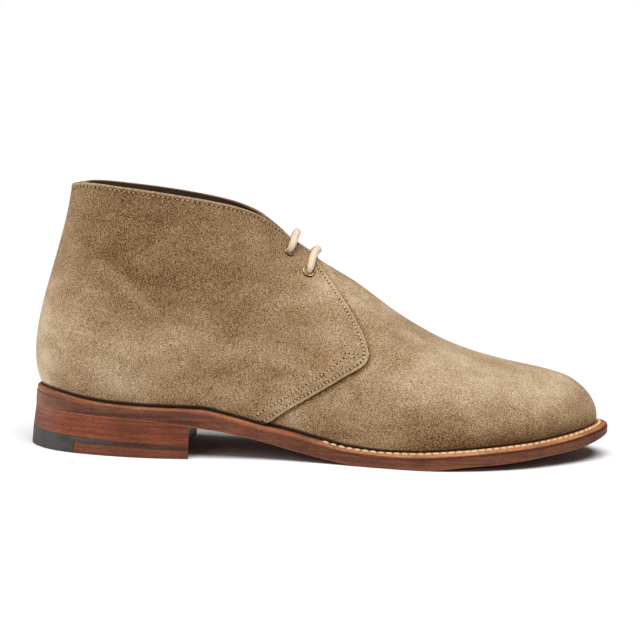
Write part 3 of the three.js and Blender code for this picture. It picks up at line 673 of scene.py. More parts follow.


# Soft patches of tone, partly the brushed nap's own and partly painted light and shade (lighter where the
# boot faces up, darker where the toe turns under): x, z, half-length, half-height and how much lighter (or
# darker).
napAndLightPatches = [
    [65, 114, 58, 26, -0.32], [118, 88, 26, 24, -0.08], [37, 50, 34, 20, 0.09], [12, 78, 11, 20, 0.08],
    [89, 46, 26, 13, -0.04], [149, 69, 15, 20, -0.02], [201, 49, 30, 14, 0.03], [188, 76, 24, 11, 0.17],
    [225, 55, 24, 13, 0.17], [266, 37, 22, 11, 0.34], [253, 8, 42, 9, -0.75], [172, 18, 22, 10, -0.08],
    [245, 28, 18, 8, -0.07], [64, 88, 30, 11, -0.15], [157, 34, 14, 10, -0.07], [206, 20, 18, 10, -0.13],
    [40, 104, 12, 6, -0.14], [82, 83, 14, 7, -0.08], [43, 128, 10, 7, -0.1], [52, 56, 9, 6, 0.1],
    [28, 62, 8, 7, 0.08], [120, 106, 10, 6, -0.06], [176, 42, 12, 8, -0.06], [236, 40, 10, 6, 0.06],
    [172, 84, 20, 9, 0.2], [150, 92, 12, 7, 0.08],
    [172, 54, 16, 14, 0.18], [158, 62, 9, 10, 0.14], [106, 74, 16, 9, -0.2], [114, 110, 11, 8, 0.22],
    [4, 36, 9, 26, 0.3], [22, 84, 9, 8, -0.1], [39, 114, 7, 6, 0.16], [26, 128, 9, 9, 0.12],
    [44, 134, 10, 5, -0.1], [104, 18, 17, 9, -0.16], [122, 34, 9, 7, -0.16], [98, 8, 16, 6, -0.2],
    [282, 19, 13, 10, -0.24], [158, 12, 10, 6, -0.2], [70, 56, 9, 7, 0.1], [110, 55, 14, 6, 0.14],
    [90, 112, 14, 8, 0.12], [4, 24, 8, 16, 0.3], [44, 80, 12, 8, 0.08], [108, 62, 10, 7, -0.12],
]


def toneAt(points):
    x, z = points[..., 0], points[..., 2]
    patches = sum(
        a * np.exp(-(((x - px) / rx) ** 2) - ((z - pz) / rz) ** 2) for px, pz, rx, rz, a in napAndLightPatches)
    return patches + creaseAt(points)[1]


footShadeLine = {"width": 1.9, "narrowing": 1.2, "narrowRows": (6.5, 9), "fade": (0.55, 1.15)}


# Painted shade along the foot, for the dark crevice where the upper meets the sole, wide at the heel and
# waist and thin round the toe: 1 on the sole, 0 above. The height above the sole is v times three times the
# Bezier curve's first step.
def paintedFootShade(t, v):
    above = v * 3 * np.hypot(ribRise(t), ribOut(t))
    width = footShadeLine["width"] - footShadeLine["narrowing"] * ease(*footShadeLine["narrowRows"], rowOf(t))
    start, end = footShadeLine["fade"]
    return 1 - ease(start * width, end * width, above)


# Soft creases in the leather: each a trough from one (x, z) to another, with a ridge below it.
creases = {
    "width": 4.6, "trough": 0.6, "ridge": 1.0, "ridgeAt": 1.7,
    "shadeAbove": 0.1, "highlightBelow": 0.1, "paintOffset": 0.9, "highlightSharp": 1.6,
    "start": (-0.15, 0.35), "end": (0.65, 1.15),
    "folds": [  # x and z of both ends, and how deep
        [34, 102, 56, 89, 0.8], [48, 93, 72, 74, 0.8], [70, 74, 92, 58, 0.35], [18, 96, 42, 84, 0.4],
        [88, 112, 124, 96, 0.4], [188, 46, 214, 62, 0.35], [214, 34, 236, 52, 0.3],
    ],
}


# Height: a bell across the fold for the trough and a second for the ridge, both fading at the two
# ends. Painted light: painted shade above the trough and a painted highlight on the side that faces up.
def creaseAt(points):
    c = creases
    x, z = points[..., 0], points[..., 2]
    height, paintedLight = 0 * x, 0 * x
    for fromX, fromZ, toX, toZ, depth in c["folds"]:
        length = math.hypot(toX - fromX, toZ - fromZ)
        ux, uz = (toX - fromX) / length, (toZ - fromZ) / length
        along = ((x - fromX) * ux + (z - fromZ) * uz) / length
        across = ((z - fromZ) * ux - (x - fromX) * uz) / c["width"]
        window = depth * ease(*c["start"], along) * (1 - ease(*c["end"], along))
        height = height + window * (c["ridge"] * bell(across + c["ridgeAt"]) - c["trough"] * bell(across))
        light = c["highlightBelow"] * bell((across + c["paintOffset"]) * c["highlightSharp"])
        paintedLight = paintedLight + window * (light - c["shadeAbove"] * bell(across - c["paintOffset"]))
    return height, paintedLight


footSteps = np.linspace(0, 0.04, 9)


# Even steps from 0 to 1, with closer ones where the far end is near.
def nearEnd(count, ends, length):
    inside = np.linspace(0, 1, count)
    extra = 1 - np.array(ends) / length
    return np.unique(np.concatenate([inside[inside < extra.min()], extra]))


# A quarter: t runs from the back seam to the front edge, v from the foot to the top line; both
# borders have extra rows for their rounding.
def makeQuarter(side):
    q = quarter
    steps = np.array(q["edgeSteps"]) / q["length"]
    s = nearEnd(q["rows"], q["edgeSteps"], q["length"])
    s = np.unique(np.concatenate([steps, s[s > steps.max()]]))
    v = nearEnd(q["columns"], q["edgeSteps"], q["height"])
    s, v = np.meshgrid(s, np.unique(np.concatenate([v, footSteps])), indexing="ij")
    row = s * frontEdge(v)
    t = onSide(row, side)
    base, normal = upperPoint(t, v), upperNormal(t, v)
    lift = quarterLift(t, v) + creaseAt(base)[0]
    rowLength = np.linalg.norm(upperPoint(0.2, v[0]) - upperPoint(0.0, v[0]), axis=-1) * 5
    ahead, top, back = behindEdge(t, v), (1 - v) * q["height"], row * rowLength[None]
    sewn = sum(bell((edge - q["seamInset"]) / q["seamWidth"]) for edge in (ahead, top))
    drop = sum(edgeDrop(edge, q["rounding"]) for edge in (ahead, top, back)) + q["seamDepth"] * sewn
    drop = np.minimum(drop, q["thickness"] * q["deepest"])
    outer = base + normal * (lift - drop)[..., None]
    inner = base + normal * lift[..., None] - wallDirection(t, v) * (q["thickness"] - drop)[..., None]
    nearest = np.minimum(ahead, top)
    cut = 1 - ease(*q["paleEdge"], nearest)
    tone, footShade = toneAt(outer), paintedFootShade(t, v)
    # The inner faces are painted darker as shade near the top line and next to the cut edges, and the cut
    # edges' pale colour is weakened on the inner side as shade at the foot of the cut wall.
    inside = tone - q["shadeInside"] * (1 - ease(0.02, 0.08, top / q["height"]))
    inside = np.minimum(inside, tone - q["shadeEdge"] * (nearest < 1))
    fields = {"tone": (tone, inside), "cutEdge": (cut, cut * q["paleInside"]), "paintedFootShade": (footShade, footShade)}
    points, faces = joinGrids(outer, inner)
    makePiece(f"quarter_{sideName(side)}", points, faces, "suede", "upper", fields)


for side in (-1, 1):
    makeQuarter(side)
print("quarters made")

# the vamp: over the toe from one side to the other, its back edge tucked under the quarters
vamp = {
    "lap": 0.5, "thickness": 0.8, "rows": 150, "columns": 72, "clearance": 0.02,
    "edgeSteps": [0, 0.003, 0.006, 0.009, 0.013, 0.018, 0.024, 0.031, 0.04],
    "ridgeSteps": [0.998, 0.995, 0.99],
    "shade": 0.65, "shadeWidth": 1.7, "shadeOver": 0.6, "overFrom": (0.38, 0.46),
}


def makeVamp(p):
    half = np.unique(np.concatenate([np.linspace(0, 1, p["columns"]), footSteps, p["ridgeSteps"]]))
    share = np.unique(np.concatenate([np.linspace(0, 1, p["rows"]), p["edgeSteps"]]))
    share, v = np.meshgrid(share, half, indexing="ij")
    start = frontEdge(v) - p["lap"]
    row = start + (toeRow - start) * share
    behind = behindEdge(row, v)
    halves = []
    for side in (-1, 1):
        t = onSide(row, side)
        base = upperPoint(t, v)
        under = np.minimum(quarterLift(t, v) - quarter["thickness"] - p["clearance"], 0) * (behind > 0)
        outer = base + upperNormal(t, v) * (under + creaseAt(base)[0] * (behind < 0))[..., None]
        halves.append((outer, outer - wallDirection(t, v) * p["thickness"]))
    outer, inner = (np.concatenate([lateral, medial[:, ::-1]], 1) for lateral, medial in zip(*halves))
    points, faces = joinGrids(outer, inner, foldedEnd=True)
    shade = p["shade"] * bell(np.abs(behind) / p["shadeWidth"])
    shade = shade * (1 - p["shadeOver"] * ease(*p["overFrom"], v))
    shade, footShade = (np.tile(np.hstack([k, k[:, ::-1]]).ravel(), 2) for k in (shade, paintedFootShade(row, v)))
    fields = {"tone": toneAt(points) - shade, "cutEdge": 0 * footShade, "paintedFootShade": footShade}
    makePiece("vamp", points, faces, "suede", "upper", fields)


makeVamp(vamp)
print("vamp made")

# lining, heel lining and tongue
lining = {"depth": 1.25, "lower": 0.004, "samples": 12, "columns": 60}


# Follows the inside of the wall all the way round; open along the collar and the facings only.
def makeLining(p):
    t = np.arange(rowCount * p["samples"]) / p["samples"]
    v = np.linspace(0, 1 - p["lower"], p["columns"])
    t, v = np.meshgrid(t, v, indexing="ij")
    v = np.where(rowOf(t) > throatRow, v / (1 - p["lower"]), v)
    base, inwards = upperPoint(t, v), wallDirection(t, v)
    outer, inner = base - inwards * p["depth"], base - inwards * last["wall"]
    fold = rowOf(np.append(t[:, 0], 0.0))
    openTop = np.minimum(fold[:-1], fold[1:]) < throatRow + 1e-6
    points, faces = joinGrids(outer, inner, closedRows=True, openTop=openTop)
    makePiece("lining", points, faces, "lining", "upper")


heelLining = {
    "reach": 0.95, "low": 0.5, "high": 0.9975, "endRound": 0.12, "flare": 0.3,
    "thickness": 0.7, "bite": 0.05, "rounding": 0.3, "halfWidth": 16, "height": 110,
}


# A pale grip lies on the lining at the back of the heel, narrowing to a rounded lower end.
def makeHeelLining(p):
    s, v = np.meshgrid(np.linspace(-1, 1, 41), np.linspace(p["low"], p["high"], 50), indexing="ij")
    above = v - p["low"]
    narrowed = np.sqrt(np.clip(above / p["endRound"], 0.0004, 1))
    reach = p["reach"] * narrowed * (1 + p["flare"] * ease(0.9, 1, v))
    t = np.mod(s * reach, rowCount)
    base, inwards = upperPoint(t, v), wallDirection(t, v)
    edges = (1 - np.abs(s)) * p["halfWidth"], above * p["height"]
    drop = np.minimum(sum(edgeDrop(edge, p["rounding"]) for edge in edges), 2 * p["rounding"])
    outer = base - inwards * (last["wall"] - p["bite"])
    inner = base - inwards * (last["wall"] + p["thickness"] - drop)[..., None]
    points, faces = joinGrids(outer, inner)
    makePiece("heel_lining", points, faces, "heelLining")


tongue = {
    "first": 6.334, "last": 8.667, "low": 10 / 14, "depth": 3.65, "thickness": 1.9, "rows": 50, "columns": 26,
    "rounding": 0.7, "span": 60, "deepest": 0.45,
}


# Lies under the facings, from the collar's front to the vamp, bending over the ridge.
def makeTongue(p):
    s = np.linspace(p["first"], p["last"], p["rows"])
    s, v = np.meshgrid(s, np.linspace(p["low"], 1, p["columns"]), indexing="ij")
    grids = []
    for depth in (p["depth"], p["depth"] + p["thickness"]):
        lateral, medial = (upperPoint(t, v) - wallDirection(t, v) * depth for t in (s, rowCount - s))
        crown = (lateral[:, -1:] + medial[:, -1:]) / 2
        grids.append(np.concatenate([lateral[:, :-1], crown, medial[:, -2::-1]], 1))
    rows, columns = grids[0].shape[:2]
    length = np.linspace(0, p["span"], rows)[:, None] + np.zeros((1, columns))
    width = np.linspace(0, p["span"], columns)[None] + np.zeros((rows, 1))
    drop = sum(edgeDrop(d, p["rounding"]) for d in (length, p["span"] - length, width, p["span"] - width))
    inwards = unit(grids[1] - grids[0])
    drop = np.minimum(drop, p["thickness"] * p["deepest"])[..., None]
    points, faces = joinGrids(grids[0] + inwards * drop, grids[1] - inwards * drop)
    tone = toneAt(points)
    fields = {"tone": tone, "cutEdge": 0 * tone, "paintedFootShade": 0 * tone}
    makePiece("tongue_leaf", points, faces, "tongueSuede", "tongue", fields)


makeLining(lining)
makeHeelLining(heelLining)
makeTongue(tongue)
print("lining and tongue made")


# sole parts: lengths along the outline, and the row at an x
arcT = np.linspace(0, rowCount, 1401)
arcLength = lengthAlong(np.stack([outlineX(arcT), outlineY(arcT)], -1))


def alongOf(t):
    return np.interp(np.mod(t, rowCount), arcT, arcLength)


def rowAt(x):
    t = np.linspace(0, toeRow, 2801)
    return float(np.interp(x, outlineX(t), t))


breastRow = rowAt(last["heelLength"])


# A band that follows the outline: its cross-section is a closed list of (inset, height) pairs,
# each a function of t, carried from one t to another; each end is closed with a flat cap.
def makeBand(name, first, end, section, look, node, line, stain):
    t = np.linspace(first, end, int(abs(end - first) * stepsPerRow))
    insets, heights = [np.stack([np.broadcast_to(f(t), t.shape) for f in part], 1) for part in zip(*section)]
    grid = np.broadcast_to(t[:, None], insets.shape)
    x, y, _, _ = outline(grid, insets)
    points = np.stack([x, y, seatZ(x) + heights], -1)
    fields = {"along": alongOf(grid), "wheel": 0 * grid, "line": line(grid, x, heights)}
    fields["stain"] = stain(grid, x, heights)
    makePiece(name, points, tubeFaces(points), look, node, fields)


def fixed(value):
    return lambda t: value + 0 * t


# The heel's edge is drawn in most at the back, and runs out to the sole's outline past the breast.
heelEdge = {"side": 0.35, "back": 1.2, "backRows": (0.8, 3.4), "breastRows": (4.7, 5.6)}


def backShare(t):
    return 1 - ease(*heelEdge["backRows"], rowOf(t))


def heelEdgeInset(extra=0.0):
    def inset(t):
        drawn = heelEdge["side"] + (heelEdge["back"] + extra) * backShare(t)
        return drawn * (1 - ease(*heelEdge["breastRows"], rowOf(t)))
    return inset


welt = {
    "rim": 0.05, "weltRim": 0.3, "backExtra": 0.3, "radius": 1.35, "under": 3.4, "overlap": 0.27,
    "corner": 0.06, "gap": 0.003,
    "fallRows": (4.7, 6.6), "fall": 0.1, "slope": 0.3, "slopeFrom": 1.9, "darkTo": 136, "paleFrom": 180,
    "waxed": (1.9, 0.2), "highlightShare": 0.75, "randHighlightDepth": 0.7, "randShare": 0.7, "randStain": (55, 84),
}


def forwardShare(t):
    return ease(*welt["fallRows"], rowOf(t))


# The fall from the upper's foot (share 0) to the lip (share 1): it grows from the breast forwards.
def weltFall(t, share):
    return forwardShare(t) * (welt["fall"] + welt["slope"] * share * (footMargin(t) - welt["slopeFrom"]))


# A quarter of a circle in a few steps, as the shares left of its radius along and down.
def roundSteps(count):
    return [(1 - math.sin(a), 1 - math.cos(a)) for a in np.linspace(0, math.pi / 2, count)]


# The welt and the rand share one section: level at the upper's foot, falling to a lip that is a
# quarter of a circle, and straight down to the sole.
def weltSection(p):
    lower, r = -last["weltThickness"] - p["overlap"], p["radius"]

    def rim(extra):
        return lambda t: heelEdgeInset(p["backExtra"])(t) + p["rim"] + p["weltRim"] * forwardShare(t) + extra

    def fall(share, extra=0.0):
        return lambda t: extra - weltFall(t, share)

    def toFoot(extra):
        return lambda t: footMargin(t) + extra

    inside = [(toFoot(p["under"]), fall(0)), (toFoot(0.3), fall(0)), (toFoot(-0.3), fall(0.1))]
    middle = [(lambda t: 0.5 * (footMargin(t) + rim(r)(t)), fall(0.5))]
    lip = [(rim(r * along), fall(1, -r * down)) for along, down in roundSteps(7)]
    side = [(rim(0), fixed(lower + 0.8)), (rim(0), fixed(lower + p["corner"]))]
    foot = [(rim(p["corner"]), fixed(lower)), (toFoot(p["under"]), fixed(lower))]
    return inside + middle + lip + side + foot


# The painted highlight on the lip reaches down to a depth below its top.
def onLip(t, heights, depth):
    return ease(-depth - 0.5, -depth, heights + weltFall(t, 1))


def paleShare(x):
    return ease(welt["darkTo"], welt["paleFrom"], x)


def weltLipHighlight(t, x, heights):
    waist, forefoot = welt["waxed"]
    return onLip(t, heights, waist + (forefoot - waist) * paleShare(x))


weltStart = breastRow + welt["gap"]
# The welt's line is a painted highlight on its lip, at the waist only.
makeBand(
    "welt_strip", weltStart, rowCount - weltStart, weltSection(welt), "welt", "welt",
    line=lambda t, x, heights: welt["highlightShare"] * weltLipHighlight(t, x, heights) * (1 - paleShare(x)),
    stain=lambda t, x, heights: 1 - paleShare(x) * weltLipHighlight(t, x, heights),
)
# The rand's line is a painted highlight on its lip.
makeBand(
    "rand_strip", rowCount - breastRow, rowCount + breastRow, weltSection(welt), "rand", "heel_rand",
    line=lambda t, x, heights: welt["randShare"] * onLip(t, heights, welt["randHighlightDepth"]),
    stain=lambda t, x, heights: ease(*welt["randStain"], x),
)


# A layer from side to side of the sole, between two rows: each section is a closed loop whose flat
# top and bottom are joined by the rim. The rim lists (inset, share of the way down, millimetres
# added to the height) and never climbs on its way down; bow hollows the front edge; behind the
# row "before" another level is used for the bottom.
def makeLayer(name, end, rim, top, bottom, look, node, insetTop, insetBottom, bow=0.0, start=0.0, wheel=None,
              line=None, before=None):
    across, n = 14, len(rim)
    t = start + (end - start) * np.linspace(0, 1, max(6, int((end - start) * stepsPerRow)))
    if before:
        t = np.sort(np.concatenate([t, [before[0] - 1e-3, before[0] + 1e-3]]))
    flat = np.ones(across)
    rim = np.array(rim, float).T
    inset, share, rise = (np.concatenate([k[0] * flat, k, k[-1] * flat, k[::-1]]) for k in rim)
    s = np.concatenate([np.linspace(-1, 1, across), np.ones(n), np.linspace(1, -1, across), -np.ones(n)])
    onRim = np.concatenate([0 * flat, np.ones(n), 0 * flat, np.ones(n)])
    grid = np.broadcast_to(t[:, None], (len(t), len(s)))
    inset = inset + insetTop(grid) * (1 - share) + insetBottom(grid) * share
    lateral, medial = outline(grid, inset), outline(rowCount - grid, inset)
    mix = (s + 1) / 2
    x, y = (lateral[i] * (1 - mix) + medial[i] * mix for i in (0, 1))
    x = x - bow * (1 - s * s) * ease(end - 2, end, grid)
    low = bottom(x) if before is None else np.where(grid < before[0], before[1](x), bottom(x))
    z = top(x) * (1 - share) + low * share + rise
    for part in (z[:, across:across + n], z[:, :-n - 1:-1]):
        part[:] = np.minimum.accumulate(part, 1)
    points = np.stack([x, y, z], -1)
    index, faces = pointIndex(points), tubeFaces(points, capped=False)
    for loop in [index[-1]] * (end < toeRow) + [index[0]] * (start > 0):
        upperLine, lowerLine = loop[:across], loop[across + n:2 * across + n][::-1]
        faces += np.stack([upperLine[:-1], upperLine[1:], lowerLine[1:], lowerLine[:-1]], -1).tolist()
        faces.append(loop[across - 1:across + n + 1].tolist())
        faces.append(loop[2 * across + n - 1:].tolist() + [int(loop[0])])
    along = np.where(s < 0, alongOf(grid), arcLength[-1] - alongOf(rowCount - grid)) + 0 * x
    fields = {"along": along, "stain": 0 * x}
    for key, band in (("wheel", wheel), ("line", line)):
        fields[key] = 0 * x if band is None else band(x, z - bottom(x)) * onRim
    makePiece(name, points, faces, look, node, fields)


# A rim with rounded corners of the given radii and a few levels between for its colour bands.
def roundRim(topRadius, bottomRadius, levels=()):
    above = [(topRadius * along, 0, -topRadius * down) for along, down in roundSteps(4)]
    below = [(bottomRadius * along, 1, bottomRadius * down) for along, down in roundSteps(4)[::-1]]
    return above + [(0, share, rise) for share, rise in levels] + below


outsole = {
    "topRadius": 0.16, "bottomRadius": 0.2, "wheel": (1.15, 3.3), "wheelFrom": (12, 26), "wheelTo": (84, 94),
    "lineHeight": 0.7, "lineFades": (84, 100), "lineLeft": 0.5, "bottomOut": 0.3,
    "levels": [(0, -1.2), (1, 3.7), (1, 3.3), (1, 2.3), (1, 1.15), (1, 0.8), (1, 0.6)],
}


# A band between two heights, faded over a third of a millimetre at each side.
def between(low, high, value):
    return ease(low - 0.3, low, value) * (1 - ease(high, high + 0.3, value))


def soleWheel(x, rise):
    p = outsole
    return ease(*p["wheelFrom"], x) * (1 - ease(*p["wheelTo"], x)) * between(*p["wheel"], rise)


def soleLine(x, rise):
    return (1 - (1 - outsole["lineLeft"]) * ease(*outsole["lineFades"], x)) * (rise < outsole["lineHeight"])


makeLayer(
    "outsole_layer", toeRow, roundRim(outsole["topRadius"], outsole["bottomRadius"], outsole["levels"]),
    soleTopZ, undersideZ, "sole", "outsole", heelEdgeInset(), heelEdgeInset(-outsole["bottomOut"]),
    wheel=soleWheel, line=soleLine,
)

insole = {"inset": 3.2, "rise": 2.0, "topRadius": 0.6, "bottomRadius": 0.3}


def insoleInset(t):
    return footMargin(rowOf(t)) + insole["inset"]


makeLayer(
    "insole_board", toeRow, roundRim(insole["topRadius"], insole["bottomRadius"]),
    lambda x: seatZ(x) + insole["rise"], soleTopZ, "insole", "insole", insoleInset, insoleInset,
)
print("sole made")

# heel, from the sole down: two lifts, a thin dark lift, the top piece and the rubber tip; the taper
# lists the inset of each joint as a share of the way from the floor's inset to the sole's
heel = {
    "topPiece": 3.5, "thinLift": 6.0, "rise": 0.04, "bow": 2.5, "rubber": 25.0, "rubberStep": 46.3,
    "topInset": 0.35, "backInset": 0.9, "floorInset": -0.6, "joint": 0.03, "corner": 0.07,
    "taper": (1, 0.67, 0.35, 0.21, 0), "tipRadii": (0.22, 0.4),
}


def heelLevel(height):
    return lambda x: height + heel["rise"] * (last["heelLength"] - x)


def insetAt(share):
    low = heel["floorInset"]
    return lambda t: low + (heel["topInset"] + heel["backInset"] * backShare(t) - low) * share


joint = heel["joint"]
topPieceZ, thinLiftZ = heelLevel(heel["topPiece"]), heelLevel(heel["thinLift"])


def liftZ(share, drop=0.0):
    return lambda x: thinLiftZ(x) + (undersideZ(x) - thinLiftZ(x)) * share - drop


def aboveTopPiece(x):
    return topPieceZ(x) + joint


def floorZ(x):
    return 0 * x


heelRim, taper = roundRim(heel["corner"], heel["corner"]), heel["taper"]
for name, node, look, high, low, level, start in (
    ("lift_upper", "heel_lift_upper", "heel", liftZ(1, joint), liftZ(0.5, -joint), 0, 0),
    ("lift_lower", "heel_lift_lower", "heel", liftZ(0.5), liftZ(0, -joint), 1, 0),
    ("thin_lift", "heel_thin_lift", "darkLift", thinLiftZ, aboveTopPiece, 2,
     rowAt(heel["rubberStep"] + joint)),
    ("top_piece", "heel_top_piece", "topPiece", topPieceZ, floorZ, 3, rowAt(heel["rubber"] + 2 * joint)),
):
    makeLayer(
        name, breastRow, heelRim, high, low, look, node, insetAt(taper[level]), insetAt(taper[level + 1]),
        bow=heel["bow"], start=start,
    )
makeLayer(
    "rubber_heel_tip", rowAt(heel["rubberStep"]), roundRim(*heel["tipRadii"]), thinLiftZ, aboveTopPiece,
    "rubber", "rubber_tip", insetAt(taper[2]), insetAt(taper[4]), before=(rowAt(heel["rubber"]), floorZ),
)
print("heel made")

# eyelets: a rolled ring on the suede with its barrel through the wall
eyelet = {
    # row, height v, row where the lace crosses the ridge, and how far it arches there
    "spots": {"lower": (7.19, 0.785, 7.5, 0.3), "upper": (6.79, 0.869, 6.93, 2.4)},
    "hole": 2.45, "barrel": 2.75, "flange": 3.45, "height": 0.75, "reach": 2.5, "sunk": 0.05, "under": 0.15,
}


# The place of an eyelet: its point on the suede, its outward direction and two square to it.
def eyeletFrame(name, side):
    section, height = eyelet["spots"][name][:2]
    t = onSide(section, side)
    normal = upperNormal(t, height)
    point = upperPoint(t, height) + normal * (quarterLift(t, height) - eyelet["sunk"])
    ahead = unit(np.cross(normal, np.array([0.0, 1.0, 0.0]) * side))
    return point, normal, ahead, np.cross(normal, ahead)


# A profile of (radius, height) turned about the eyelet's direction: a half circle and the barrel.
def makeEyelet(name, side):
    e = eyelet
    middle, half = (e["flange"] + e["hole"]) / 2, (e["flange"] - e["hole"]) / 2
    rolled = [(middle + half * math.cos(k), e["height"] * math.sin(k)) for k in np.linspace(0, math.pi, 9)]
    barrel = [(e["hole"], -e["reach"]), (e["barrel"], -e["reach"]), (e["barrel"], -e["under"])]
    profile = np.array(rolled + barrel + [(e["flange"] - 0.1, -e["under"])])[None]
    turn = ringAngles(40)[:, None, None]
    point, normal, ahead, aside = eyeletFrame(name, side)
    radial = ahead * np.cos(turn) + aside * np.sin(turn)
    points = point + radial * profile[..., :1] + normal * profile[..., 1:]
    index = pointIndex(points)
    index = np.vstack([np.hstack([index, index[:, :1]]), np.append(index[0], index[0, 0])[None]])
    # Painted shade: the barrel's inside goes near black, and the outer half of the ring darkens on its lower
    # side.
    below = ease(-0.1, 0.7, -radial[..., 2]) * ease(middle - 0.1, middle + 0.35, profile[..., 0])
    fields = {"depth": np.maximum(ease(0.1, 0.9, -profile[..., 1]), below)}
    spot = f"{name}_{sideName(side)}"
    makePiece(f"eyelet_ring_{spot}", points, gridQuads(index), "brass", f"eyelet_{spot}", fields)


lace = {
    "radius": 1.95, "pinched": 1.6, "opens": (0.1, 0.24), "aside": 0.8, "sunk": 2.4, "leaves": (1.6, 1.3),
    "steps": 90, "sides": 16, "climb": [(0.34, 3.0), (0.62, 2.75), (0.85, 2.5), (1, 2.35)],
}


# A smooth curve through points by Catmull-Rom: each stretch leaves a point along the line between
# its neighbours.
def smoothPath(points, count):
    points = np.array(points)
    padded = np.concatenate([2 * points[:1] - points[1:2], points, 2 * points[-1:] - points[-2:-1]])
    u = np.linspace(0, len(points) - 1 - 1e-9, count)
    i = u.astype(int)
    f = (u - i)[:, None]
    a, b, c, d = (padded[i + k] for k in range(4))
    return 0.5 * (2 * b + (c - a) * f + (2 * a - 5 * b + 4 * c - d) * f**2 + (3 * b - a - 3 * c + d) * f**3)


# A round section carried along a path, with its ends drawn in to a point.
def tubeAlong(path, radius, turn, reference):
    tangent = unit(np.gradient(path, axis=0))
    first = unit(reference - (tangent @ reference)[:, None] * tangent)
    second = np.cross(tangent, first)
    ring = np.cos(turn)[None, :, None] * first[:, None] + np.sin(turn)[None, :, None] * second[:, None]
    return path[:, None] + ring * radius[:, None, None]


# Out of one eyelet, forward over the facings and down into the eyelet opposite.
def makeLaceBar(name, p):
    section, height, crossing, arch = eyelet["spots"][name]
    halves = []
    for side in (-1, 1):
        point, normal, _, _ = eyeletFrame(name, side)
        lean = upperPoint(onSide(crossing, side), 1.0) - point
        lean = unit(lean - (lean @ normal) * normal)
        out, ahead = p["leaves"]
        foot = point + lean * p["aside"]
        half = [point - normal * p["sunk"] + lean * p["aside"], foot, point + normal * out + lean * ahead]
        for share, lift in p["climb"]:
            t, v = onSide(section + (crossing - section) * share, side), height + (1 - height) * share
            half.append(upperPoint(t, v) + upperNormal(t, v) * (quarterLift(t, v) + lift + arch * share**2))
        halves.append(half)
    halves[0][-1] = (halves[0][-1] + halves[1][-1]) / 2
    path = smoothPath(halves[0] + halves[1][-2::-1], p["steps"])
    reach = np.minimum(np.linspace(0, 1, len(path)), np.linspace(1, 0, len(path)))
    radius = p["pinched"] + (p["radius"] - p["pinched"]) * ease(*p["opens"], reach)
    path, turn = np.concatenate([path[:1], path, path[-1:]]), ringAngles(p["sides"])
    points = tubeAlong(path, np.pad(radius, 1), turn, np.array([1.0, 0.0, -0.6]))
    along = lengthAlong(path)[:, None] + 0 * turn
    fields = {"along": along, "turn": turn + 0 * along}
    makePiece(f"lace_{name}", points, tubeFaces(points, capped=False), "cord", f"lace_bar_{name}", fields)


for name in eyelet["spots"]:
    for side in (-1, 1):
        makeEyelet(name, side)
    makeLaceBar(name, lace)
print("eyelets and laces made")

# stitching: rows of short threads with a needle hole between each two
seams = {
    "inset": 2.1, "pitch": 2.05, "collarPitch": 2.5, "thread": (0.7, 0.3), "filled": 0.78,
    "collarFilled": 0.62, "samples": 600, "borderSamples": 500,
    "hole": 0.46, "vary": 0.6, "facingFrom": 50, "frontSpan": (0.012, 0.93), "collarSpan": (0.06, 7.36),
    # rows and heights of the seam along the inside of the lap, and of the two short bars at its top
    "innerRow": [
        [7.44, 0.382], [7.346, 0.367], [7.184, 0.338], [6.943, 0.294], [6.739, 0.258], [6.545, 0.223],
        [6.358, 0.183], [6.179, 0.146], [5.988, 0.102], [5.835, 0.064], [5.68, 0.03],
    ],
    "barUpper": [[7.41, 0.406], [7.51, 0.408], [7.63, 0.411], [7.74, 0.413], [7.84, 0.415]],
    "barLower": [[7.44, 0.386], [7.53, 0.392], [7.65, 0.396], [7.76, 0.399]],
}


# The point of the upper nearest to a target, by Newton steps in t and v.
def nearestOnUpper(target, t, v, step=1e-3, rounds=6):
    for _ in range(rounds):
        here = upperPoint(t, v)
        dt = (upperPoint(t + step, v) - here) / step
        dv = (upperPoint(t, v - step) - here) / -step
        miss = target - here
        a, b, c = (dt * dt).sum(-1), (dt * dv).sum(-1), (dv * dv).sum(-1)
        p, q = (miss * dt).sum(-1), (miss * dv).sum(-1)
        size = np.maximum(a * c - b * b, 1e-9)
        t, v = t + (p * c - q * b) / size, np.clip(v + (q * a - p * b) / size, 0, 1)
    return t, v


# Steps a border in (t, v) inwards over the surface by a distance.
def insetBorder(t, v, distance):
    points, normals = upperPoint(t, v), upperNormal(t, v)
    inwards = unit(np.cross(unit(np.gradient(points, axis=0)), normals))
    return nearestOnUpper(points + inwards * distance, t, v)


# Evenly spaced marks along a path of (t, v) on the lateral side, or mirrored on the medial side.
def marksAlong(t, v, side, pitch):
    dense = np.linspace(0, 1, seams["samples"])
    t, v = (np.interp(dense, np.linspace(0, 1, len(k)), k) for k in (t, v))
    t = onSide(t, side)
    length = lengthAlong(upperPoint(t, v))
    marks = np.linspace(0, length[-1], max(2, int(length[-1] / pitch)) * 2 + 1)
    t, v = np.interp(marks, length, t), np.interp(marks, length, v)
    normal = upperNormal(t, v)
    points = upperPoint(t, v) + normal * quarterLift(t, v)[:, None]
    tangent = unit(np.gradient(points, axis=0))
    return points, tangent, unit(normal), np.cross(normal, tangent)


# One short thread: a half-buried arch with tapered ends, lying along its first axis.
def threadShape(length, width, height):
    u = np.linspace(-1, 1, 6)[:, None]
    turn = ringAngles(6)
    size = np.sqrt(np.clip(1 - u**4, 0.02, 1))
    arch = (1 - u**2) * height * 0.5 - height * 0.25
    along, across = u * length / 2 + 0 * turn, size * np.cos(turn) * width / 2
    return np.stack([along, across, size * np.sin(turn) * height + arch], -1)


# A needle hole: a small dimpled disc just above the leather.
def holeShape(radius):
    turn = ringAngles(8)
    rings = [(radius, -0.12), (radius, 0.03), (radius * 0.5, 0.05)]
    return np.stack([np.stack([np.cos(turn) * r, np.sin(turn) * r, 0 * turn + h], -1) for r, h in rings])


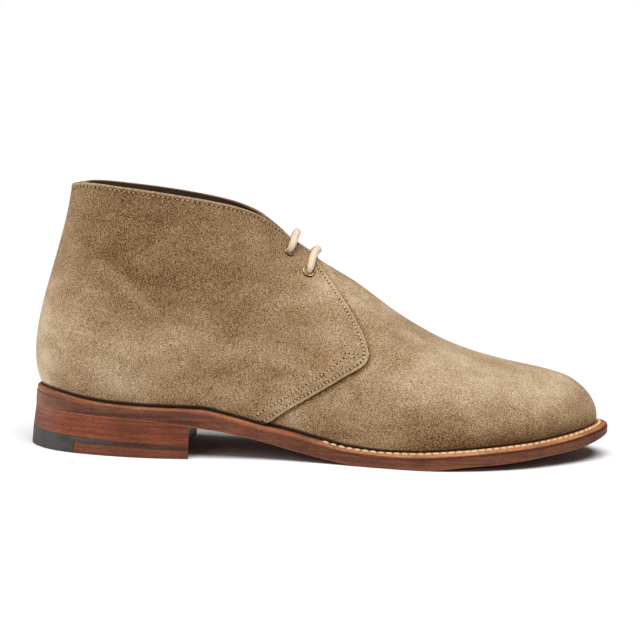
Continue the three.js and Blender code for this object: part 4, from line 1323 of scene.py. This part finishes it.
# Copies a small shape to many places as one mesh, turned to each place's own directions, with a
# seeded difference in size.
def makeMany(name, shape, places, look, vary):
    points, tangent, normal, aside = (np.concatenate(k) for k in zip(*places))
    sizes = 1 + vary * (np.random.default_rng(len(points)).random((len(points), 1, 1)) - 0.5)
    faces, shape = tubeFaces(shape), shape.reshape(-1, 3)
    axes = enumerate((tangent, aside, normal))
    spread = points[:, None] + sizes * sum(axis[:, None] * shape[None, :, i:i + 1] for i, axis in axes)
    offsets = range(0, len(points) * len(shape), len(shape))
    everyFace = [[k + first for k in f] for first in offsets for f in faces]
    makePiece(name, spread, everyFace, look)


def pick(marks, start):
    return tuple(part[start::2] for part in marks)


def makeSeams(p, side):
    low, high = p["frontSpan"]
    v = np.linspace(1, 0.004, p["borderSamples"])
    t, v = insetBorder(frontEdge(v), v, p["inset"])
    keep = (v < high) & (v > low)
    front = marksAlong(t[keep], v[keep], side, p["pitch"])
    first, end = p["collarSpan"]
    t = np.linspace(first, quarter["frontEdge"][-1][1] - 0.03, p["borderSamples"])
    t, v = insetBorder(t, np.full(len(t), 0.9999), p["inset"])
    keep = t < end
    collar = marksAlong(t[keep], v[keep], side, p["collarPitch"])
    rows = [marksAlong(*np.array(p[k]).T, side, p["pitch"]) for k in ("innerRow", "barUpper", "barLower")]
    stitches = pick(front, 1)
    onFacing = stitches[0][:, 2] > p["facingFrom"]
    facing, lower = ([tuple(part[which] for part in stitches)] for which in (onFacing, ~onFacing))
    lower += [pick(row, 1) for row in rows]
    shape = threadShape(p["pitch"] * p["filled"], *p["thread"])
    collarShape = threadShape(p["collarPitch"] * p["collarFilled"], *p["thread"])
    holes = [pick(row, 0) for row in [front, *rows, collar]]
    for name, kind, places, look, vary in (
        ("facing_stitches", shape, facing, "thread", p["vary"] / 2),
        ("quarter_stitches", shape, lower, "lowThread", p["vary"] / 2),
        ("collar_stitches", collarShape, [pick(collar, 1)], "collarThread", p["vary"] / 2),
        ("needle_holes", holeShape(p["hole"]), holes, "hole", p["vary"]),
    ):
        makeMany(f"{name}_{sideName(side)}", kind, places, look, vary)


for side in (-1, 1):
    makeSeams(seams, side)

weltSeam = {
    "pitch": 4.1, "length": 3.5, "width": 1.35, "height": 0.5, "fromX": 153, "share": 0.56, "vary": 0.2,
}


# Thick waxed stitches along the welt, lying on its slope.
def makeWeltStitches(p):
    first = rowAt(p["fromX"])
    t = np.linspace(first, rowCount - first, 3000)
    along = alongOf(t)
    marks = np.interp(np.arange(along[0], along[-1], p["pitch"]), along, t)

    def onWelt(dt=0.0, ds=0.0):
        at, share = marks + dt, p["share"] + ds
        x, y, _, _ = outline(at, welt["slopeFrom"] + (footMargin(at) - welt["slopeFrom"]) * share)
        return np.stack([x, y, seatZ(x) - weltFall(at, 1 - share)], -1)

    tangent = unit(onWelt(0.02) - onWelt(-0.02))
    normal = unit(np.cross(tangent, onWelt(0.0, 0.2) - onWelt(0.0, -0.2)))
    normal = normal * np.sign(normal[:, 2:])
    places = [(onWelt(), tangent, normal, np.cross(normal, tangent))]
    shape = threadShape(p["length"], p["width"], p["height"])
    makeMany("welt_stitches", shape, places, "weltThread", p["vary"])


makeWeltStitches(weltSeam)
print("stitching made")

# floor and studio light
studio = {
    "floor": 8.0, "floorDrop": -0.0003, "floorColour": (240, 240, 240), "worldFill": 0.1,
    "skylight": {"from": (0.06, -0.32, 1.0), "angle": 48, "strength": 3.65},
    "lamps": {
        "frontLeft": {"place": (-0.9, -1.3, 0.75), "aim": (0.0, 0.0, 0.06), "size": 0.9, "power": 3},
        "backLeft": {"place": (-0.6, 0.05, 0.1), "aim": (-0.15, 0.0, 0.03), "size": 0.25, "power": 0.75},
    },
}


def makeFloor(p):
    size = p["floor"] / 2
    corners = [(x * size, y * size, p["floorDrop"]) for x, y in ((-1, -1), (1, -1), (1, 1), (-1, 1))]
    mesh = bpy.data.meshes.new("floor")
    mesh.from_pydata(corners, [], [(0, 1, 2, 3)])
    material, _ = newMaterial("paleFloor")
    mesh.materials.append(finish(material, p["floorColour"], 0.9, others={"Specular IOR Level": 0.1}))
    addObject("floor", mesh)


# A wide soft light from above; each lamp is a square softbox turned to its aim.
def makeLamps(p):
    sky = bpy.data.lights.new("skylight", "SUN")
    sky.angle, sky.energy = math.radians(p["skylight"]["angle"]), p["skylight"]["strength"]
    addObject("skylight", sky, (-Vector(p["skylight"]["from"])).to_track_quat("-Z", "Y").to_matrix().to_4x4())
    for name, lamp in p["lamps"].items():
        data = bpy.data.lights.new(name, "AREA")
        data.shape, data.size, data.energy = "SQUARE", lamp["size"], lamp["power"]
        turned = (Vector(lamp["aim"]) - Vector(lamp["place"])).to_track_quat("-Z", "Y").to_matrix().to_4x4()
        addObject(name, data, Matrix.Translation(lamp["place"]) @ turned)


# The room is white to the eye and gives a weaker fill to everything else.
def makeWorld(p):
    world = bpy.data.worlds.new("studio")
    world.use_nodes = True
    tree = world.node_tree
    tree.nodes.clear()
    seen = put(tree, "ShaderNodeLightPath")[0]  # whether the camera sees it
    fill = {"Color": (1, 1, 1, 1), "Strength": seen.remap(0, 1, p["worldFill"], 1.0)}
    put(tree, "ShaderNodeOutputWorld", {0: put(tree, "ShaderNodeBackground", fill)[0]})
    bpy.context.scene.world = world


makeFloor(studio)
makeLamps(studio)
makeWorld(studio)
bpy.context.scene.view_settings.view_transform = "Standard"
bpy.context.scene.view_settings.look = "None"
print("studio made")
